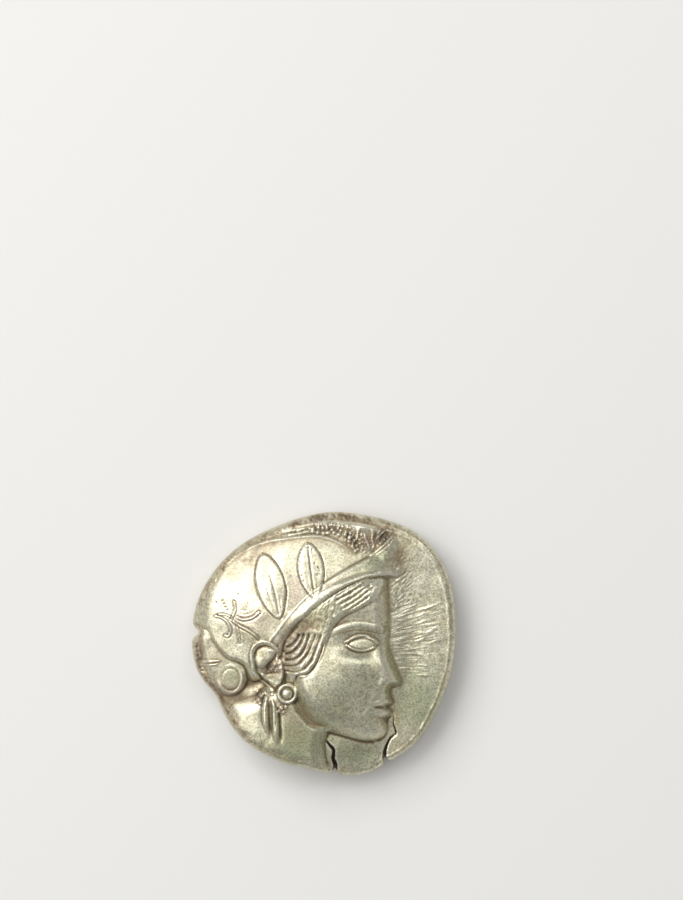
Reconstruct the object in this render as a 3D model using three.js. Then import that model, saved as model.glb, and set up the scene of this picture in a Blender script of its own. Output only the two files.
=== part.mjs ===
// An Athenian silver tetradrachm, struck about 440-404 BC, lying flat with its obverse up.
// One struck solid: a helmeted head on the upper face, an owl in a sunken square on the lower one.
// Millimetres, +Z up, the rest plane at z = 0. Each face is a height function built from named
// sizes; a greedy triangulation then spends its triangles where the relief turns most.
import * as THREE from "three";

// ---- driving dimensions, mm and degrees ----
const MEAN_RADIUS = 11.55;
const RIM_BUMPS = [ // where the flan's outline leaves the circle: [at angle, half-width, out by]
  [43, 20, 1.4], [86, 8, 0.12], [112, 12, -0.27], [163, 16, 0.27], [174.5, 1.6, -0.65], [206, 7.5, -0.88],
  [221, 5, -0.25], [243, 20, -0.62], [262, 5, -0.25], [285, 8, 0.38], [290, 5, 0.12], [311, 12, 0.42],
  [330, 10, -0.05],
];
const CRACKS = [ // the two flan cracks at the lower edge
  { at: 275.2, mouth: 0.9, bite: 0.45, start: 0.25, half: [0.08, 0.12, 0.15, 0.22, 0.26], depth: 1.0,
    path: [[0.15, -8.3], [0.55, -8.8], [0.9, -9.25], [0.85, -10], [1.05, -10.6], [1, -11.5], [1, -12.2]] },
  { at: 298.3, mouth: 0.8, bite: 0.5, start: 0.35, half: [0.07, 0.08, 0.1, 0.16, 0.22, 0.24], depth: 0.8,
    path: [[6, -5.4], [6.2, -6.2], [6.2, -7], [6.4, -7.8], [5.85, -8.3], [5.4, -9.6], [5.65, -11.2]] },
];
const EDGE_ROUND = 1.0;       // width and height of the rounded rim on each face
const FIELD_HIGH = 2.9;       // the upper field at the rim
const FIELD_DOME = 0.45;      // and how much more of it at the centre
const HEAD_SWELL = 0.45;      // the ground under the whole head
const BOWL_HIGH = 1.8;
const VISOR_HIGH = 2.28;
const CHEEK_HIGH = 1.32;
const NECK_HIGH = 0.85;
const FACE_TALL = 14.7;       // hairline to chin
const HAIRLINE = [6.05, 6.05];
const FACE_TILT = -3.5;
const SQUARE_HALF = 7.3;      // the sunken square of the lower face
const SQUARE_TURN = 7;
const SQUARE_DEEP = 1.0;
const OWL_HIGH = 0.62;
const RIM_STEPS = 120;        // mesh: steps round the rim and triangles on each face
const UPPER_TRIANGLES = 4900;
const LOWER_TRIANGLES = 2600;

// ---- small mathematics ----
const rad = THREE.MathUtils.degToRad;
const clamp = (v, low = 0, high = 1) => Math.min(high, Math.max(low, v));
const smooth = (a, b, v) => { const t = clamp((v - a) / (b - a)); return t * t * (3 - 2 * t); };
const swell = (d, w) => Math.sqrt(Math.max(0, 1 - (1 - clamp(d / w)) ** 2)); // quarter-round shoulder
const gauss = (v, w) => Math.exp(-((v / w) ** 2));

function softMax(a, b, k) {
  const h = clamp(0.5 + 0.5 * (a - b) / k);
  return b + (a - b) * h + k * h * (1 - h);
}

function spread(values, t) { // the value at t, from 0 to 1, along evenly spaced values
  const s = clamp(t) * (values.length - 1);
  const k = Math.min(values.length - 2, Math.floor(s));
  return values.length < 2 ? values[0] : values[k] + (values[k + 1] - values[k]) * (s - k);
}

function turned(cx, cy, tilt) { // coordinates in a frame at (cx, cy), turned by tilt
  const c = Math.cos(rad(tilt)), s = Math.sin(rad(tilt));
  return (x, y) => [(x - cx) * c + (y - cy) * s, (y - cy) * c - (x - cx) * s];
}

// ---- curves: distance, place along them, and depth inside them ----
class Curve {
  constructor(points, closed = false, steps = 6) {
    const v = points.map(([x, y]) => new THREE.Vector3(x, y, 0));
    const spline = new THREE.CatmullRomCurve3(v, closed, "catmullrom", 0.5);
    const count = (points.length - (closed ? 0 : 1)) * steps;
    this.points = steps === 1 ? points : spline.getPoints(count).map((p) => [p.x, p.y]);
    if (steps === 1 && closed) this.points = [...points, points[0]];
    this.at = [0];
    for (let k = 1; k < this.points.length; k++) {
      const [a, b] = [this.points[k - 1], this.points[k]];
      this.at.push(this.at[k - 1] + Math.hypot(b[0] - a[0], b[1] - a[1]));
    }
    this.length = this.at.at(-1);
    const xs = this.points.map((p) => p[0]), ys = this.points.map((p) => p[1]);
    this.box = [Math.min(...xs), Math.max(...xs), Math.min(...ys), Math.max(...ys)];
  }

  far(x, y, reach) {
    const [x0, x1, y0, y1] = this.box;
    return x < x0 - reach || x > x1 + reach || y < y0 - reach || y > y1 + reach;
  }

  nearest(x, y, reach) { // [distance, place along the curve from 0 to 1]
    let best = reach, place = 0;
    if (this.far(x, y, reach)) return [best, place];
    for (let k = 1; k < this.points.length; k++) {
      const [ax, ay] = this.points[k - 1], [bx, by] = this.points[k];
      const dx = bx - ax, dy = by - ay, size = dx * dx + dy * dy;
      if (size < 1e-12) continue;
      const t = clamp(((x - ax) * dx + (y - ay) * dy) / size);
      const d = Math.hypot(x - ax - t * dx, y - ay - t * dy);
      if (d < best) { best = d; place = (this.at[k - 1] + t * Math.sqrt(size)) / this.length; }
    }
    return [best, place];
  }

  depth(x, y, reach) { // distance to the closed outline, positive inside
    if (this.far(x, y, 0)) return -1;
    let inside = false;
    for (let k = 1; k < this.points.length; k++) {
      const [ax, ay] = this.points[k - 1], [bx, by] = this.points[k];
      if ((ay > y) !== (by > y) && x < (bx - ax) * (y - ay) / (by - ay) + ax) inside = !inside;
    }
    return inside ? this.nearest(x, y, reach)[0] : -1;
  }
}

const area = (points) => new Curve(points, true);

// ---- relief shapes, each a function of x and y that gives a height ----
function wire(points, half, high, [fadeIn, fadeOut] = [0, 0], steps = 6) { // half-round wire
  const curve = points instanceof Curve ? points : new Curve(points, false, steps);
  const widths = [].concat(half), reach = Math.max(...widths) * 1.05;
  return (x, y) => {
    const [d, t] = curve.nearest(x, y, reach);
    if (d >= reach) return 0;
    const ends = (fadeIn ? smooth(0, fadeIn, t) : 1) * (fadeOut ? 1 - smooth(1 - fadeOut, 1, t) : 1);
    return high * ends * Math.sqrt(Math.max(0, 1 - (d / spread(widths, t)) ** 2));
  };
}

function cap(cx, cy, a, b, tilt, high, power = 0.5) { // the cap of an ellipsoid
  const local = turned(cx, cy, tilt);
  return (x, y) => {
    const [u, v] = local(x, y);
    return high * Math.max(0, 1 - (u / a) ** 2 - (v / b) ** 2) ** power;
  };
}

function mound(cx, cy, a, b, tilt, high) { // a soft rise or, with a negative height, a hollow
  const local = turned(cx, cy, tilt);
  return (x, y) => {
    const [u, v] = local(x, y);
    return high * gauss(u, a) * gauss(v, b);
  };
}

function leaf([bx, by], [tx, ty], half, high) { // a pointed leaf with a midrib
  const long = Math.hypot(tx - bx, ty - by);
  const local = turned(bx, by, THREE.MathUtils.radToDeg(Math.atan2(ty - by, tx - bx)));
  return (x, y) => {
    const [along, across] = local(x, y), s = along / long;
    if (s <= 0 || s >= 1) return 0;
    const wide = half * (4 * s * (1 - s)) ** 0.62, q = Math.abs(across) / wide;
    if (q >= 1) return 0;
    const rib = 0.05 * gauss(across, 0.07) * smooth(0.02, 0.2, s) * (1 - smooth(0.7, 0.95, s));
    return high * Math.sqrt(1 - q ** 4) * smooth(0, 0.06, s) * smooth(0, 0.06, 1 - s) + rib;
  };
}

const sum = (shapes) => (x, y) => shapes.reduce((total, shape) => total + shape(x, y), 0);
const most = (shapes) => (x, y) => shapes.reduce((high, shape) => Math.max(high, shape(x, y)), 0);

// ---- the flan ----
function rim(angle) { // outline radius at an angle in radians
  const bumps = [...RIM_BUMPS, ...CRACKS.map((c) => [c.at, c.mouth, -c.bite])];
  return bumps.reduce((r, [at, width, out]) => {
    const off = THREE.MathUtils.euclideanModulo(angle * 180 / Math.PI - at + 180, 360) - 180;
    return r + out * Math.exp(-0.5 * (off / width) ** 2);
  }, MEAN_RADIUS);
}

// ---- obverse: a goddess's head in a crested helmet, facing right ----
function facePoint(down, ahead) { // shares of the face's height below the hairline and ahead of it
  const c = Math.cos(rad(FACE_TILT)) * FACE_TALL, s = Math.sin(rad(FACE_TILT)) * FACE_TALL;
  return [HAIRLINE[0] + down * s + ahead * c, HAIRLINE[1] + ahead * s - down * c];
}

function headFace() { // an ideal profile in three equal thirds: brow, base of the nose, chin
  const profile = [
    [-0.03, -0.16], [0, -0.035], [0.12, -0.008], [0.25, 0.006], [0.335, 0.012], [0.39, 0.01], // brow
    [0.47, 0.036], [0.56, 0.078], [0.61, 0.102], [0.638, 0.102], [0.658, 0.08], [0.668, 0.046], // nose
    [0.7, 0.038], [0.745, 0.058], [0.766, 0.05], [0.782, 0.03], [0.8, 0.046], [0.83, 0.046], // lips
    [0.865, 0.014], [0.9, 0.022], [0.94, 0.028], [0.98, 0.008], [1, -0.045], [0.997, -0.13], // chin
    [0.98, -0.22], [0.96, -0.32], [0.945, -0.415]]; // jaw
  const front = new Curve(profile.map(([u, v]) => facePoint(u, v)), false, 4).points;
  const back = [[-1.4, -7.2], [-2.6, -5.9], [-3.4, -4.4], [-4.5, -2.5], [-5, 0], [-4, 2], [0, 5]];
  const outline = new Curve([...front, ...back], true, 1);
  const f = (u, v) => facePoint(u, v);
  const forms = sum([
    mound(...f(0.66, -0.36), 4.2, 3.9, 0, 0.62), mound(...f(0.52, -0.2), 2, 1, -10, 0.2), // cheek
    mound(...f(0.12, -0.25), 4.5, 2.6, 30, 0.3), mound(...f(0.405, -0.14), 1.9, 1, 8, -0.55), // brow, socket
    mound(...f(0.57, 0.03), 0.62, 2.2, 22, 0.28), mound(...f(0.645, 0.02), 0.62, 0.5, 0, 0.26), // nose
    mound(...f(0.69, -0.055), 0.7, 1.1, 20, -0.22), mound(...f(0.79, -0.105), 0.45, 0.5, 0, -0.25), // folds
    mound(...f(0.865, -0.02), 0.9, 0.45, 0, -0.22), mound(...f(0.93, -0.055), 1.35, 1.25, 0, 0.26), // chin
  ]);
  const features = sum([
    wire([f(0.325, -0.02), f(0.3, -0.1), f(0.295, -0.2), f(0.33, -0.3), f(0.375, -0.37)],
      [0.35, 0.42, 0.35, 0.2], 0.2, [0.05, 0.35]), // eyebrow
    cap(...f(0.408, -0.15), 1.35, 0.62, 6, 0.42, 0.6), // eyeball and its two lids
    wire([f(0.405, -0.052), f(0.372, -0.095), f(0.358, -0.15), f(0.372, -0.205), f(0.408, -0.262)],
      [0.13, 0.17, 0.17, 0.12], 0.3, [0.05, 0.1]),
    wire([f(0.42, -0.068), f(0.442, -0.12), f(0.448, -0.165), f(0.436, -0.215), f(0.412, -0.255)],
      [0.1, 0.13, 0.13, 0.1], 0.22, [0.08, 0.1]),
    cap(...f(0.748, 0.006), 0.92, 0.3, 6, 0.34, 0.7), // lips and the line between them
    cap(...f(0.815, 0), 0.82, 0.36, -6, 0.36, 0.7),
    wire([f(0.781, 0.045), f(0.78, -0.02), f(0.786, -0.085)], 0.14, -0.24, [0, 0.35]),
  ]);
  return (x, y, ground) => {
    const d = outline.depth(x, y, 3);
    if (d <= 0) return 0;
    const edge = swell(d, 0.8 + 1.3 * smooth(0.5, -3, x));
    return ground + HEAD_SWELL * edge + (CHEEK_HIGH + forms(x, y)) * edge + features(x, y);
  };
}

function headNeck() {
  const outline = area([[0.35, -8], [0.15, -9.5], [0.1, -12.8], [-5, -13], [-10.5, -10], [-8.6, -6.6],
    [-8.1, -5.3], [-7.2, -4.75], [-6, -4.35], [-5.2, -3.6], [-3, -2.6], [0, -2.5], [2, -5]]);
  const fullness = mound(-3.4, -7.5, 3.6, 6, 0, 0.3);
  return (x, y, ground) => {
    const d = outline.depth(x, y, 3);
    return d > 0 ? ground + HEAD_SWELL + (NECK_HIGH + fullness(x, y)) * swell(d, 1.6) : 0;
  };
}

function hair() { // fringe, temple locks in quarter ovals, and two locks hanging on the neck
  const temple = [...Array(7).keys()].map((k) => {
    const size = 1.3 + 0.465 * k;
    const arc = [...Array(9).keys()].map((n) => rad(6 - 102 * n / 8))
      .map((t) => [-3.7 + size * Math.cos(t) + 0.1 * Math.sin(3 * t), 1.05 + size * Math.sin(t)]);
    return wire(arc, [0.16, 0.22, 0.22, 0.2, 0.17], 0.26, [0.12, 0.05]);
  });
  const fringe = [...Array(6).keys()].map((k) => wire([[0.75 + 0.22 * k, 4.05 - 0.33 * k],
    [2 + 0.27 * k, 4.75 - 0.34 * k], [3.3 + 0.22 * k, 5.35 - 0.32 * k], [4.45 + 0.1 * k, 5.8 - 0.2 * k]],
  [0.13, 0.18, 0.18, 0.1], 0.18, [0.1, 0.15]));
  const hanging = [
    wire([[-5.05, -4.35], [-5.2, -5.5], [-5.25, -6.8], [-5.1, -8.1]], [0.2, 0.24, 0.15], 0.34, [0.05, 0.5]),
    wire([[-4.45, -4.7], [-4.2, -5.8], [-4.25, -7.2], [-4.3, -8.8]], [0.2, 0.3, 0.22], 0.34, [0.05, 0.4]),
    wire([[-4.8, -4.9], [-4.75, -6.5], [-4.8, -8.4]], 0.15, -0.2, [0.15, 0.3]),
    wire([[-3.8, -5.8], [-3.8, -7.4], [-3.7, -9]], 0.18, -0.2, [0.15, 0.3]),
  ];
  const mass = area([[-4.2, 1], [-3.2, 1.6], [0.2, 3.6], [3, 5.3], [5.7, 6.2], [5.3, 4.9], [4.4, 4],
    [3.2, 3.3], [1.8, 2.6], [0.7, 1.6], [0.25, 0.4], [-0.2, -0.9], [-1, -2.1], [-2.4, -2.9], [-3.6, -3.2],
    [-4.6, -2.6], [-4.4, -1]]);
  const locks = sum([...temple, ...fringe, ...hanging]);
  return (x, y) => locks(x, y) + 0.16 * swell(Math.max(0, mass.depth(x, y, 1)), 0.25);
}

function helmetBowl() {
  const outline = area([[-10.4, 0.3], [-10.75, 1.5], [-10.6, 2.8], [-10.2, 4.2], [-9.3, 5.9], [-8.3, 7.2],
    [-6.9, 8.3], [-5.4, 9], [-3.8, 9.4], [-2, 9.5], [-0.4, 9.4], [1.2, 9], [2.6, 8.4], [4.4, 7.8], [3, 6.4],
    [0, 4.6], [-3, 1.5], [-4.2, -1], [-6, -2.3], [-7.4, -1.9], [-8.6, -1.5], [-9.4, -0.9], [-10, -0.3]]);
  const dome = cap(-4.6, 3.4, 8.4, 6.9, 38, 1);
  return (x, y, ground) => {
    const d = outline.depth(x, y, 2);
    return d > 0 ? ground + 0.25 + (BOWL_HIGH * (0.3 + 0.7 * dome(x, y))) * swell(d, 1.5) : 0;
  };
}

function helmetOrnament() { // two upright olive leaves and a palmette's tendrils
  return sum([
    leaf([-3.95, 2.95], [-5.25, 7.95], 1.33, 0.22),
    leaf([-0.75, 4.6], [-1.35, 9], 1.2, 0.22),
    wire([[-8.1, 2.25], [-7.75, 2.75], [-7.6, 3.2], [-7.65, 3.65]], [0.2, 0.17, 0.12], 0.2, [0.08, 0.12]),
    wire([[-8.15, 2.4], [-8.7, 2.75], [-9.5, 2.8]], [0.15, 0.1], 0.12, [0.08, 0.12]),
    wire([[-9.6, 2.45], [-9, 2.4], [-8.5, 2.05], [-8.2, 1.55], [-8.15, 1.1], [-8.38, 0.82], [-8.62, 0.95]],
      [0.1, 0.16, 0.2, 0.2, 0.16], 0.2, [0.08, 0.12]),
    wire([[-7.55, 2.55], [-6.9, 2.55], [-6.2, 2.75], [-5.5, 3.2]], [0.16, 0.2, 0.15], 0.2, [0.08, 0.12]),
    wire([[-8.1, 2.2], [-7.3, 1.75], [-6.6, 1.4], [-5.9, 0.9], [-5.6, 0.4]], [0.2, 0.25], 0.24, [0.08, 0.12]),
    wire([[-7.75, 1.75], [-7.4, 1], [-7.2, 0.1]], 0.12, 0.12, [0.08, 0.12]),
  ]);
}

function crest() { // the crest's holder and the mass of its hair
  const holder = new Curve([[-10.9, 3.4], [-10.4, 5], [-9.4, 6.6], [-8, 7.75], [-6.5, 8.7], [-5, 9.3],
    [-3, 9.72], [-1, 9.8], [0.6, 9.6], [1.8, 9.2], [3, 8.55], [3.9, 8]]);
  const rod = wire(holder, [0.25, 0.3, 0.28, 0.26, 0.2], 0.35);
  const mass = area([[-9.8, 6.9], [-8.3, 8.2], [-6.4, 9.4], [-4.4, 10.2], [-2, 10.8], [0.5, 11], [3, 10.95],
    [5, 10.6], [6.35, 9.8], [5.3, 8.7], [4.3, 8.1], [3.2, 8.7], [1.5, 9.5], [-0.5, 9.9], [-3, 9.8],
    [-5.5, 9.2], [-8, 7.9]]);
  return (x, y, ground) => {
    const d = mass.depth(x, y, 1), up = rod(x, y);
    const band = d > 0 ? ground + 0.35 + 0.45 * swell(d, 0.35) : 0;
    return Math.max(band, up > 0 ? ground + 0.75 + up : 0);
  };
}

function helmetVisor() {
  const top = new Curve([[-5, 0.4], [-4.2, 1.4], [-3.4, 2.5], [-2.5, 3.6], [-1.5, 4.6], [-0.5, 5.3],
    [0.5, 5.9], [2, 6.8], [3.5, 7.6], [4.3, 8], [5.1, 8.5], [5.7, 9], [6.25, 9.7]]).points;
  const low = new Curve([[-4.4, 0.1], [-3.5, 1.2], [-2.5, 2.2], [-1.2, 3.1], [0.4, 4.15], [1.6, 4.9],
    [2.8, 5.5], [3.8, 5.95], [4.8, 6.2], [5.6, 6.15], [6.15, 5.95]]).points;
  const outline = new Curve([...top, [5.95, 8.6], [5.9, 7.3], ...low.reverse()], true, 1);
  return (x, y, ground) => {
    const d = outline.depth(x, y, 2), fall = 0.08 * Math.max(0, x + y - 4) + 0.05 * Math.max(0, -x - y);
    return d > 0 ? ground + (VISOR_HIGH - fall) * (0.75 + 0.25 * swell(d, 1)) : 0;
  };
}

function disc(cx, cy, a, b, base, ring, ringHigh, middleHigh) { // a ringed button
  return (x, y, ground) => {
    const r = Math.hypot((x - cx) / a, (y - cy) / b);
    if (r > ring + 0.18) return 0;
    const hoop = ringHigh * Math.sqrt(Math.max(0, 1 - ((r - ring) / 0.17) ** 2));
    return ground + base + hoop + middleHigh * Math.sqrt(Math.max(0, 1 - (r / (0.6 * ring)) ** 2));
  };
}

function obverse() {
  const ground = area([[6, 6.5], [6.2, 0], [5, -8], [2, -10.5], [-3, -11.5], [-8, -9], [-9.5, -5],
    [-10.8, -1], [-10.9, 3], [-8.5, 7.5], [-4, 10], [1, 10.6], [5, 9.8]]);
  const [neck, face, bowl, crestForm, visor] = [headNeck(), headFace(), helmetBowl(), crest(), helmetVisor()];
  const [locks, ornament] = [hair(), helmetOrnament()];
  const loop = [[-3.85, -0.5], [-4.2, 0.1], [-4.9, 0.42], [-5.7, 0.25], [-6.25, -0.4], [-6.35, -1.3],
    [-6.1, -2.2], [-5.5, -2.9], [-4.8, -3.4], [-4.2, -3.8]];
  const well = area([...loop, [-3.6, -2.6], [-3.7, -1.4]]);
  const ear = sum([wire(loop, [0.24, 0.26, 0.2], 0.3, [0.06, 0.1]), cap(-5.2, -0.85, 1, 0.7, 50, 0.55)]);
  const earring = disc(-3.25, -4.15, 1, 1, 1.62, 0.84, 0.34, 0.42);
  const guardCurl = disc(-8.3, -2.95, 1.25, 1.35, 0.75, 0.92, 0.28, 0.25);
  const guard = sum([
    wire([[-9, -1.35], [-9.9, -1.42], [-10.9, -1.6]], [0.22, 0.16], 0.25, [0.05, 0.1]),
    wire([[-10.3, -2.3], [-9.9, -3.2], [-9.2, -4.3], [-8.6, -5.4]], [0.15, 0.2, 0.15], 0.2, [0.2, 0.2]),
    wire([[-11.25, 0.35], [-11.3, -0.8], [-11.05, -2], [-10.5, -3.1], [-9.9, -4.2]], 0.34, 0.42, [0.1, 0.2]),
  ]);
  const cracks = sum(CRACKS.map((c) => wire(c.path, c.half, -c.depth, [c.start, 0])));
  return (x, y) => {
    const r = Math.hypot(x, y), field = FIELD_HIGH + FIELD_DOME * (1 - (r / 11.6) ** 2);
    let z = field + HEAD_SWELL * swell(Math.max(0, ground.depth(x, y, 4)), 2.6);
    z = softMax(z, neck(x, y, field), 0.1);
    z = softMax(z, face(x, y, field), 0.3) + locks(x, y);
    z = softMax(z, bowl(x, y, field), 0.08) + ornament(x, y);
    z = Math.max(z, crestForm(x, y, field), visor(x, y, field));
    z += ear(x, y) - 0.35 * swell(Math.max(0, well.depth(x, y, 1)), 0.5);
    z = Math.max(z, earring(x, y, field), guardCurl(x, y, field)) + guard(x, y) + cracks(x, y);
    return z - 1.05 * (1 - swell(rim(Math.atan2(y, x)) - r, EDGE_ROUND));
  };
}

// ---- reverse: an owl, olive spray and crescent in a sunken square, seen from below ----
function owl() {
  const tail = area([[-1, -2.2], [-2.2, -3.4], [-3.5, -4.9], [-4.3, -6.3], [-3.3, -6.6], [-2, -5.6],
    [-0.6, -4.2]]);
  const body = area([[-2.2, 2.2], [-3, 0.4], [-3.1, -1.6], [-2.2, -3.4], [-0.5, -4.4], [1.2, -4.2],
    [2.5, -2.8], [3, -0.8], [2.7, 1.2], [1.8, 2.6], [-0.3, 3]]);
  const wing = area([[-2.4, 1.9], [-2.9, 0.2], [-3.1, -1.8], [-3.3, -3.6], [-2, -3.5], [-0.6, -2.2],
    [0.2, -0.4], [0.3, 1], [-0.8, 2.1]]);
  const head = cap(-0.25, 3.75, 2.95, 2.35, 0, 1.25 * OWL_HIGH, 0.4);
  const beak = wire([[-0.25, 4.6], [-0.25, 3.6], [-0.3, 2.75]], [0.12, 0.22, 0.1], 0.18, [0.1, 0.1]);
  const feet = most([0.25, 1.55].flatMap((x) => [
    wire([[x, -3.8], [x + 0.1, -5], [x + 0.25, -6]], [0.42, 0.3, 0.3], 0.5),
    ...[-0.35, 0.25, 0.85].map((toe) =>
      wire([[x + 0.2, -5.85], [x + toe, -6.45]], [0.2, 0.14], 0.4, [0, 0.1], 1)),
  ]));
  return (x, y) => {
    let up = 0.45 * swell(Math.max(0, tail.depth(x, y, 1)), 0.6);
    up = softMax(up, OWL_HIGH * swell(Math.max(0, body.depth(x, y, 2)), 1.5), 0.05);
    up += 0.1 * swell(Math.max(0, wing.depth(x, y, 1)), 0.3);
    up = softMax(up, head(x, y), 0.06) + beak(x, y);
    for (const eye of [-1.47, 0.97]) {
      const r = Math.hypot(x - eye, y - 3.95);
      if (r < 1.05) up = Math.max(up - 0.18 * smooth(1.05, 0.85, r), 0.2);
      up += 0.14 * Math.sqrt(Math.max(0, 1 - ((r - 0.82) / 0.16) ** 2));
      up += 0.2 * Math.sqrt(Math.max(0, 1 - (r / 0.42) ** 2));
    }
    return Math.max(up, feet(x, y));
  };
}

function reverse() { // gives the height above the rest plane, so more is deeper
  const local = turned(0, 0.1, SQUARE_TURN), bird = owl();
  const moon = [...Array(10).keys()].map((n) => rad(150 + 210 * n / 9))
    .map((t) => [-4.35 + 0.8 * Math.cos(t), 2.2 + 0.8 * Math.sin(t)]);
  const signs = most([
    leaf([-6, 5.6], [-3.5, 6.6], 0.52, 0.38), leaf([-5.9, 5.5], [-5.9, 2.7], 0.52, 0.38),
    leaf([-5.7, 5.4], [-4, 4.3], 0.52, 0.38), wire([[-6.9, 6.6], [-5.9, 5.6]], 0.17, 0.32, [0.1, 0], 1),
    cap(-3.75, 5.35, 0.45, 0.45, 0, 0.42), wire(moon, [0.08, 0.24, 0.08], 0.34),
    ...[4.3, 0.6, -3.1].flatMap((y) => [0, 1, 2, 3].map((k) => // plain strokes, no letters
      wire([[4.1 + 0.55 * k, y + 0.8], [3.95 + 0.55 * k, y - 0.8]], 0.16, 0.26, [0.1, 0.1], 1))),
  ]);
  return (x, y) => {
    const [u, v] = local(x, y), r = Math.hypot(x, y);
    const qx = Math.abs(u) - (SQUARE_HALF - 1), qy = Math.abs(v) - (SQUARE_HALF - 1);
    const inside = 1 - Math.hypot(Math.max(qx, 0), Math.max(qy, 0)) - Math.min(Math.max(qx, qy), 0);
    const floor = (SQUARE_DEEP - 0.18 * gauss(r, 5.5)) * smooth(0, 0.55, inside);
    const up = Math.max(bird(u, v), signs(u, v)) * smooth(0.2, 0.8, inside);
    const z = Math.max(floor - up, 0.02 * smooth(0, 0.5, inside));
    return z + EDGE_ROUND * (1 - swell(rim(Math.atan2(y, -x)) - r, EDGE_ROUND));
  };
}

// ---- mesh: Delaunay triangles in a unit disc, adding the worst sample until the budget is spent ----
function circle(a, b, c) { // circumcentre and squared radius
  const bx = b[0] - a[0], by = b[1] - a[1], cx = c[0] - a[0], cy = c[1] - a[1];
  const d = 2 * (bx * cy - by * cx), bb = bx * bx + by * by, cc = cx * cx + cy * cy;
  const x = (cy * bb - by * cc) / d, y = (bx * cc - cx * bb) / d;
  return [a[0] + x, a[1] + y, x * x + y * y];
}

function makeTriangle(points, a, b, c, samples) { // keeps the samples over it, and the worst of them
  const [p, q, r] = [points[a], points[b], points[c]];
  const det = (q[0] - p[0]) * (r[1] - p[1]) - (q[1] - p[1]) * (r[0] - p[0]);
  const along = ((q[2] - p[2]) * (r[1] - p[1]) - (r[2] - p[2]) * (q[1] - p[1])) / det / MEAN_RADIUS;
  const across = ((r[2] - p[2]) * (q[0] - p[0]) - (q[2] - p[2]) * (r[0] - p[0])) / det / MEAN_RADIUS;
  const steep = Math.hypot(1, along, across); // errors count square to the surface
  const tri = { corners: [a, b, c], circle: circle(p, q, r), samples: [], worst: null, error: 0 };
  for (const s of samples) {
    const wq = ((s[0] - p[0]) * (r[1] - p[1]) - (s[1] - p[1]) * (r[0] - p[0])) / det;
    const wr = ((q[0] - p[0]) * (s[1] - p[1]) - (q[1] - p[1]) * (s[0] - p[0])) / det;
    if (wq < 0 || wr < 0 || wq + wr > 1 || s.used) continue;
    tri.samples.push(s);
    const error = Math.abs(s[2] - (p[2] + wq * (q[2] - p[2]) + wr * (r[2] - p[2]))) / steep;
    if (error > tri.error) { tri.error = error; tri.worst = s; }
  }
  return tri;
}

function triangulate(ring, surface, budget) { // ring: boundary points in the unit disc, with heights
  const points = [...ring, [0, 0, surface(0, 0)]], hub = ring.length, samples = [];
  const half = 170, jitter = (i, j) => (Math.sin(i * 12.9898 + j * 78.233) * 43758.5453 % 1) * 0.4;
  for (let i = -half; i <= half; i++) {
    for (let j = -half; j <= half; j++) {
      const s = [(i + jitter(i, j)) / half, (j + jitter(j, i)) / half];
      if ((i || j) && Math.hypot(...s) < 0.995) samples.push([...s, surface(...s)]);
    }
  }
  const sector = ring.map(() => []), angles = ring.map(([x, y]) => Math.atan2(y, x));
  const turn = (a) => THREE.MathUtils.euclideanModulo(a - angles[0], 2 * Math.PI);
  const starts = angles.map(turn);
  for (const s of samples) {
    const a = turn(Math.atan2(s[1], s[0]));
    let k = Math.min(ring.length - 1, Math.floor(a / (2 * Math.PI) * ring.length));
    while (k > 0 && starts[k] > a) k--;
    while (k < ring.length - 1 && starts[k + 1] <= a) k++;
    sector[k].push(s);
  }
  let triangles = ring.map((_, k) => makeTriangle(points, hub, k, (k + 1) % hub, sector[k]));
  while (triangles.length < budget) {
    const { worst, error } = triangles.reduce((a, b) => (b.error > a.error ? b : a));
    if (!worst || error < 0.003) break;
    worst.used = true;
    const hit = ({ circle: [x, y, rr] }) => (worst[0] - x) ** 2 + (worst[1] - y) ** 2 < rr * (1 - 1e-9);
    const opened = triangles.filter(hit), edges = new Map();
    const freed = new Set(opened.flatMap((t) => t.samples));
    for (const { corners: [a, b, c] } of opened) {
      for (const [m, n] of [[a, b], [b, c], [c, a]]) {
        if (!edges.delete(`${n},${m}`)) edges.set(`${m},${n}`, [m, n]);
      }
    }
    triangles = triangles.filter((t) => !opened.includes(t));
    const tip = points.push(worst) - 1;
    for (const [m, n] of edges.values()) triangles.push(makeTriangle(points, tip, m, n, freed));
  }
  return { points, corners: triangles.map((t) => t.corners) };
}

// ---- the closed solid ----
function rimAngles() { // even steps, except that each notch gets steps of its own
  const notches = [...CRACKS.map((c) => [c.at, c.mouth]), [174.5, 1.6]];
  const near = (a) => notches.some(([at, wide]) => Math.abs(a - at) < 2.2 * wide + 0.8);
  const even = [...Array(RIM_STEPS).keys()].map((k) => 360 * k / RIM_STEPS).filter((a) => !near(a));
  const extra = notches.flatMap(([at, wide]) => [-2.2, -1, 0, 1, 2.2].map((n) => at + n * wide));
  return [...even, ...extra].sort((a, b) => a - b).map(rad);
}

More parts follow.
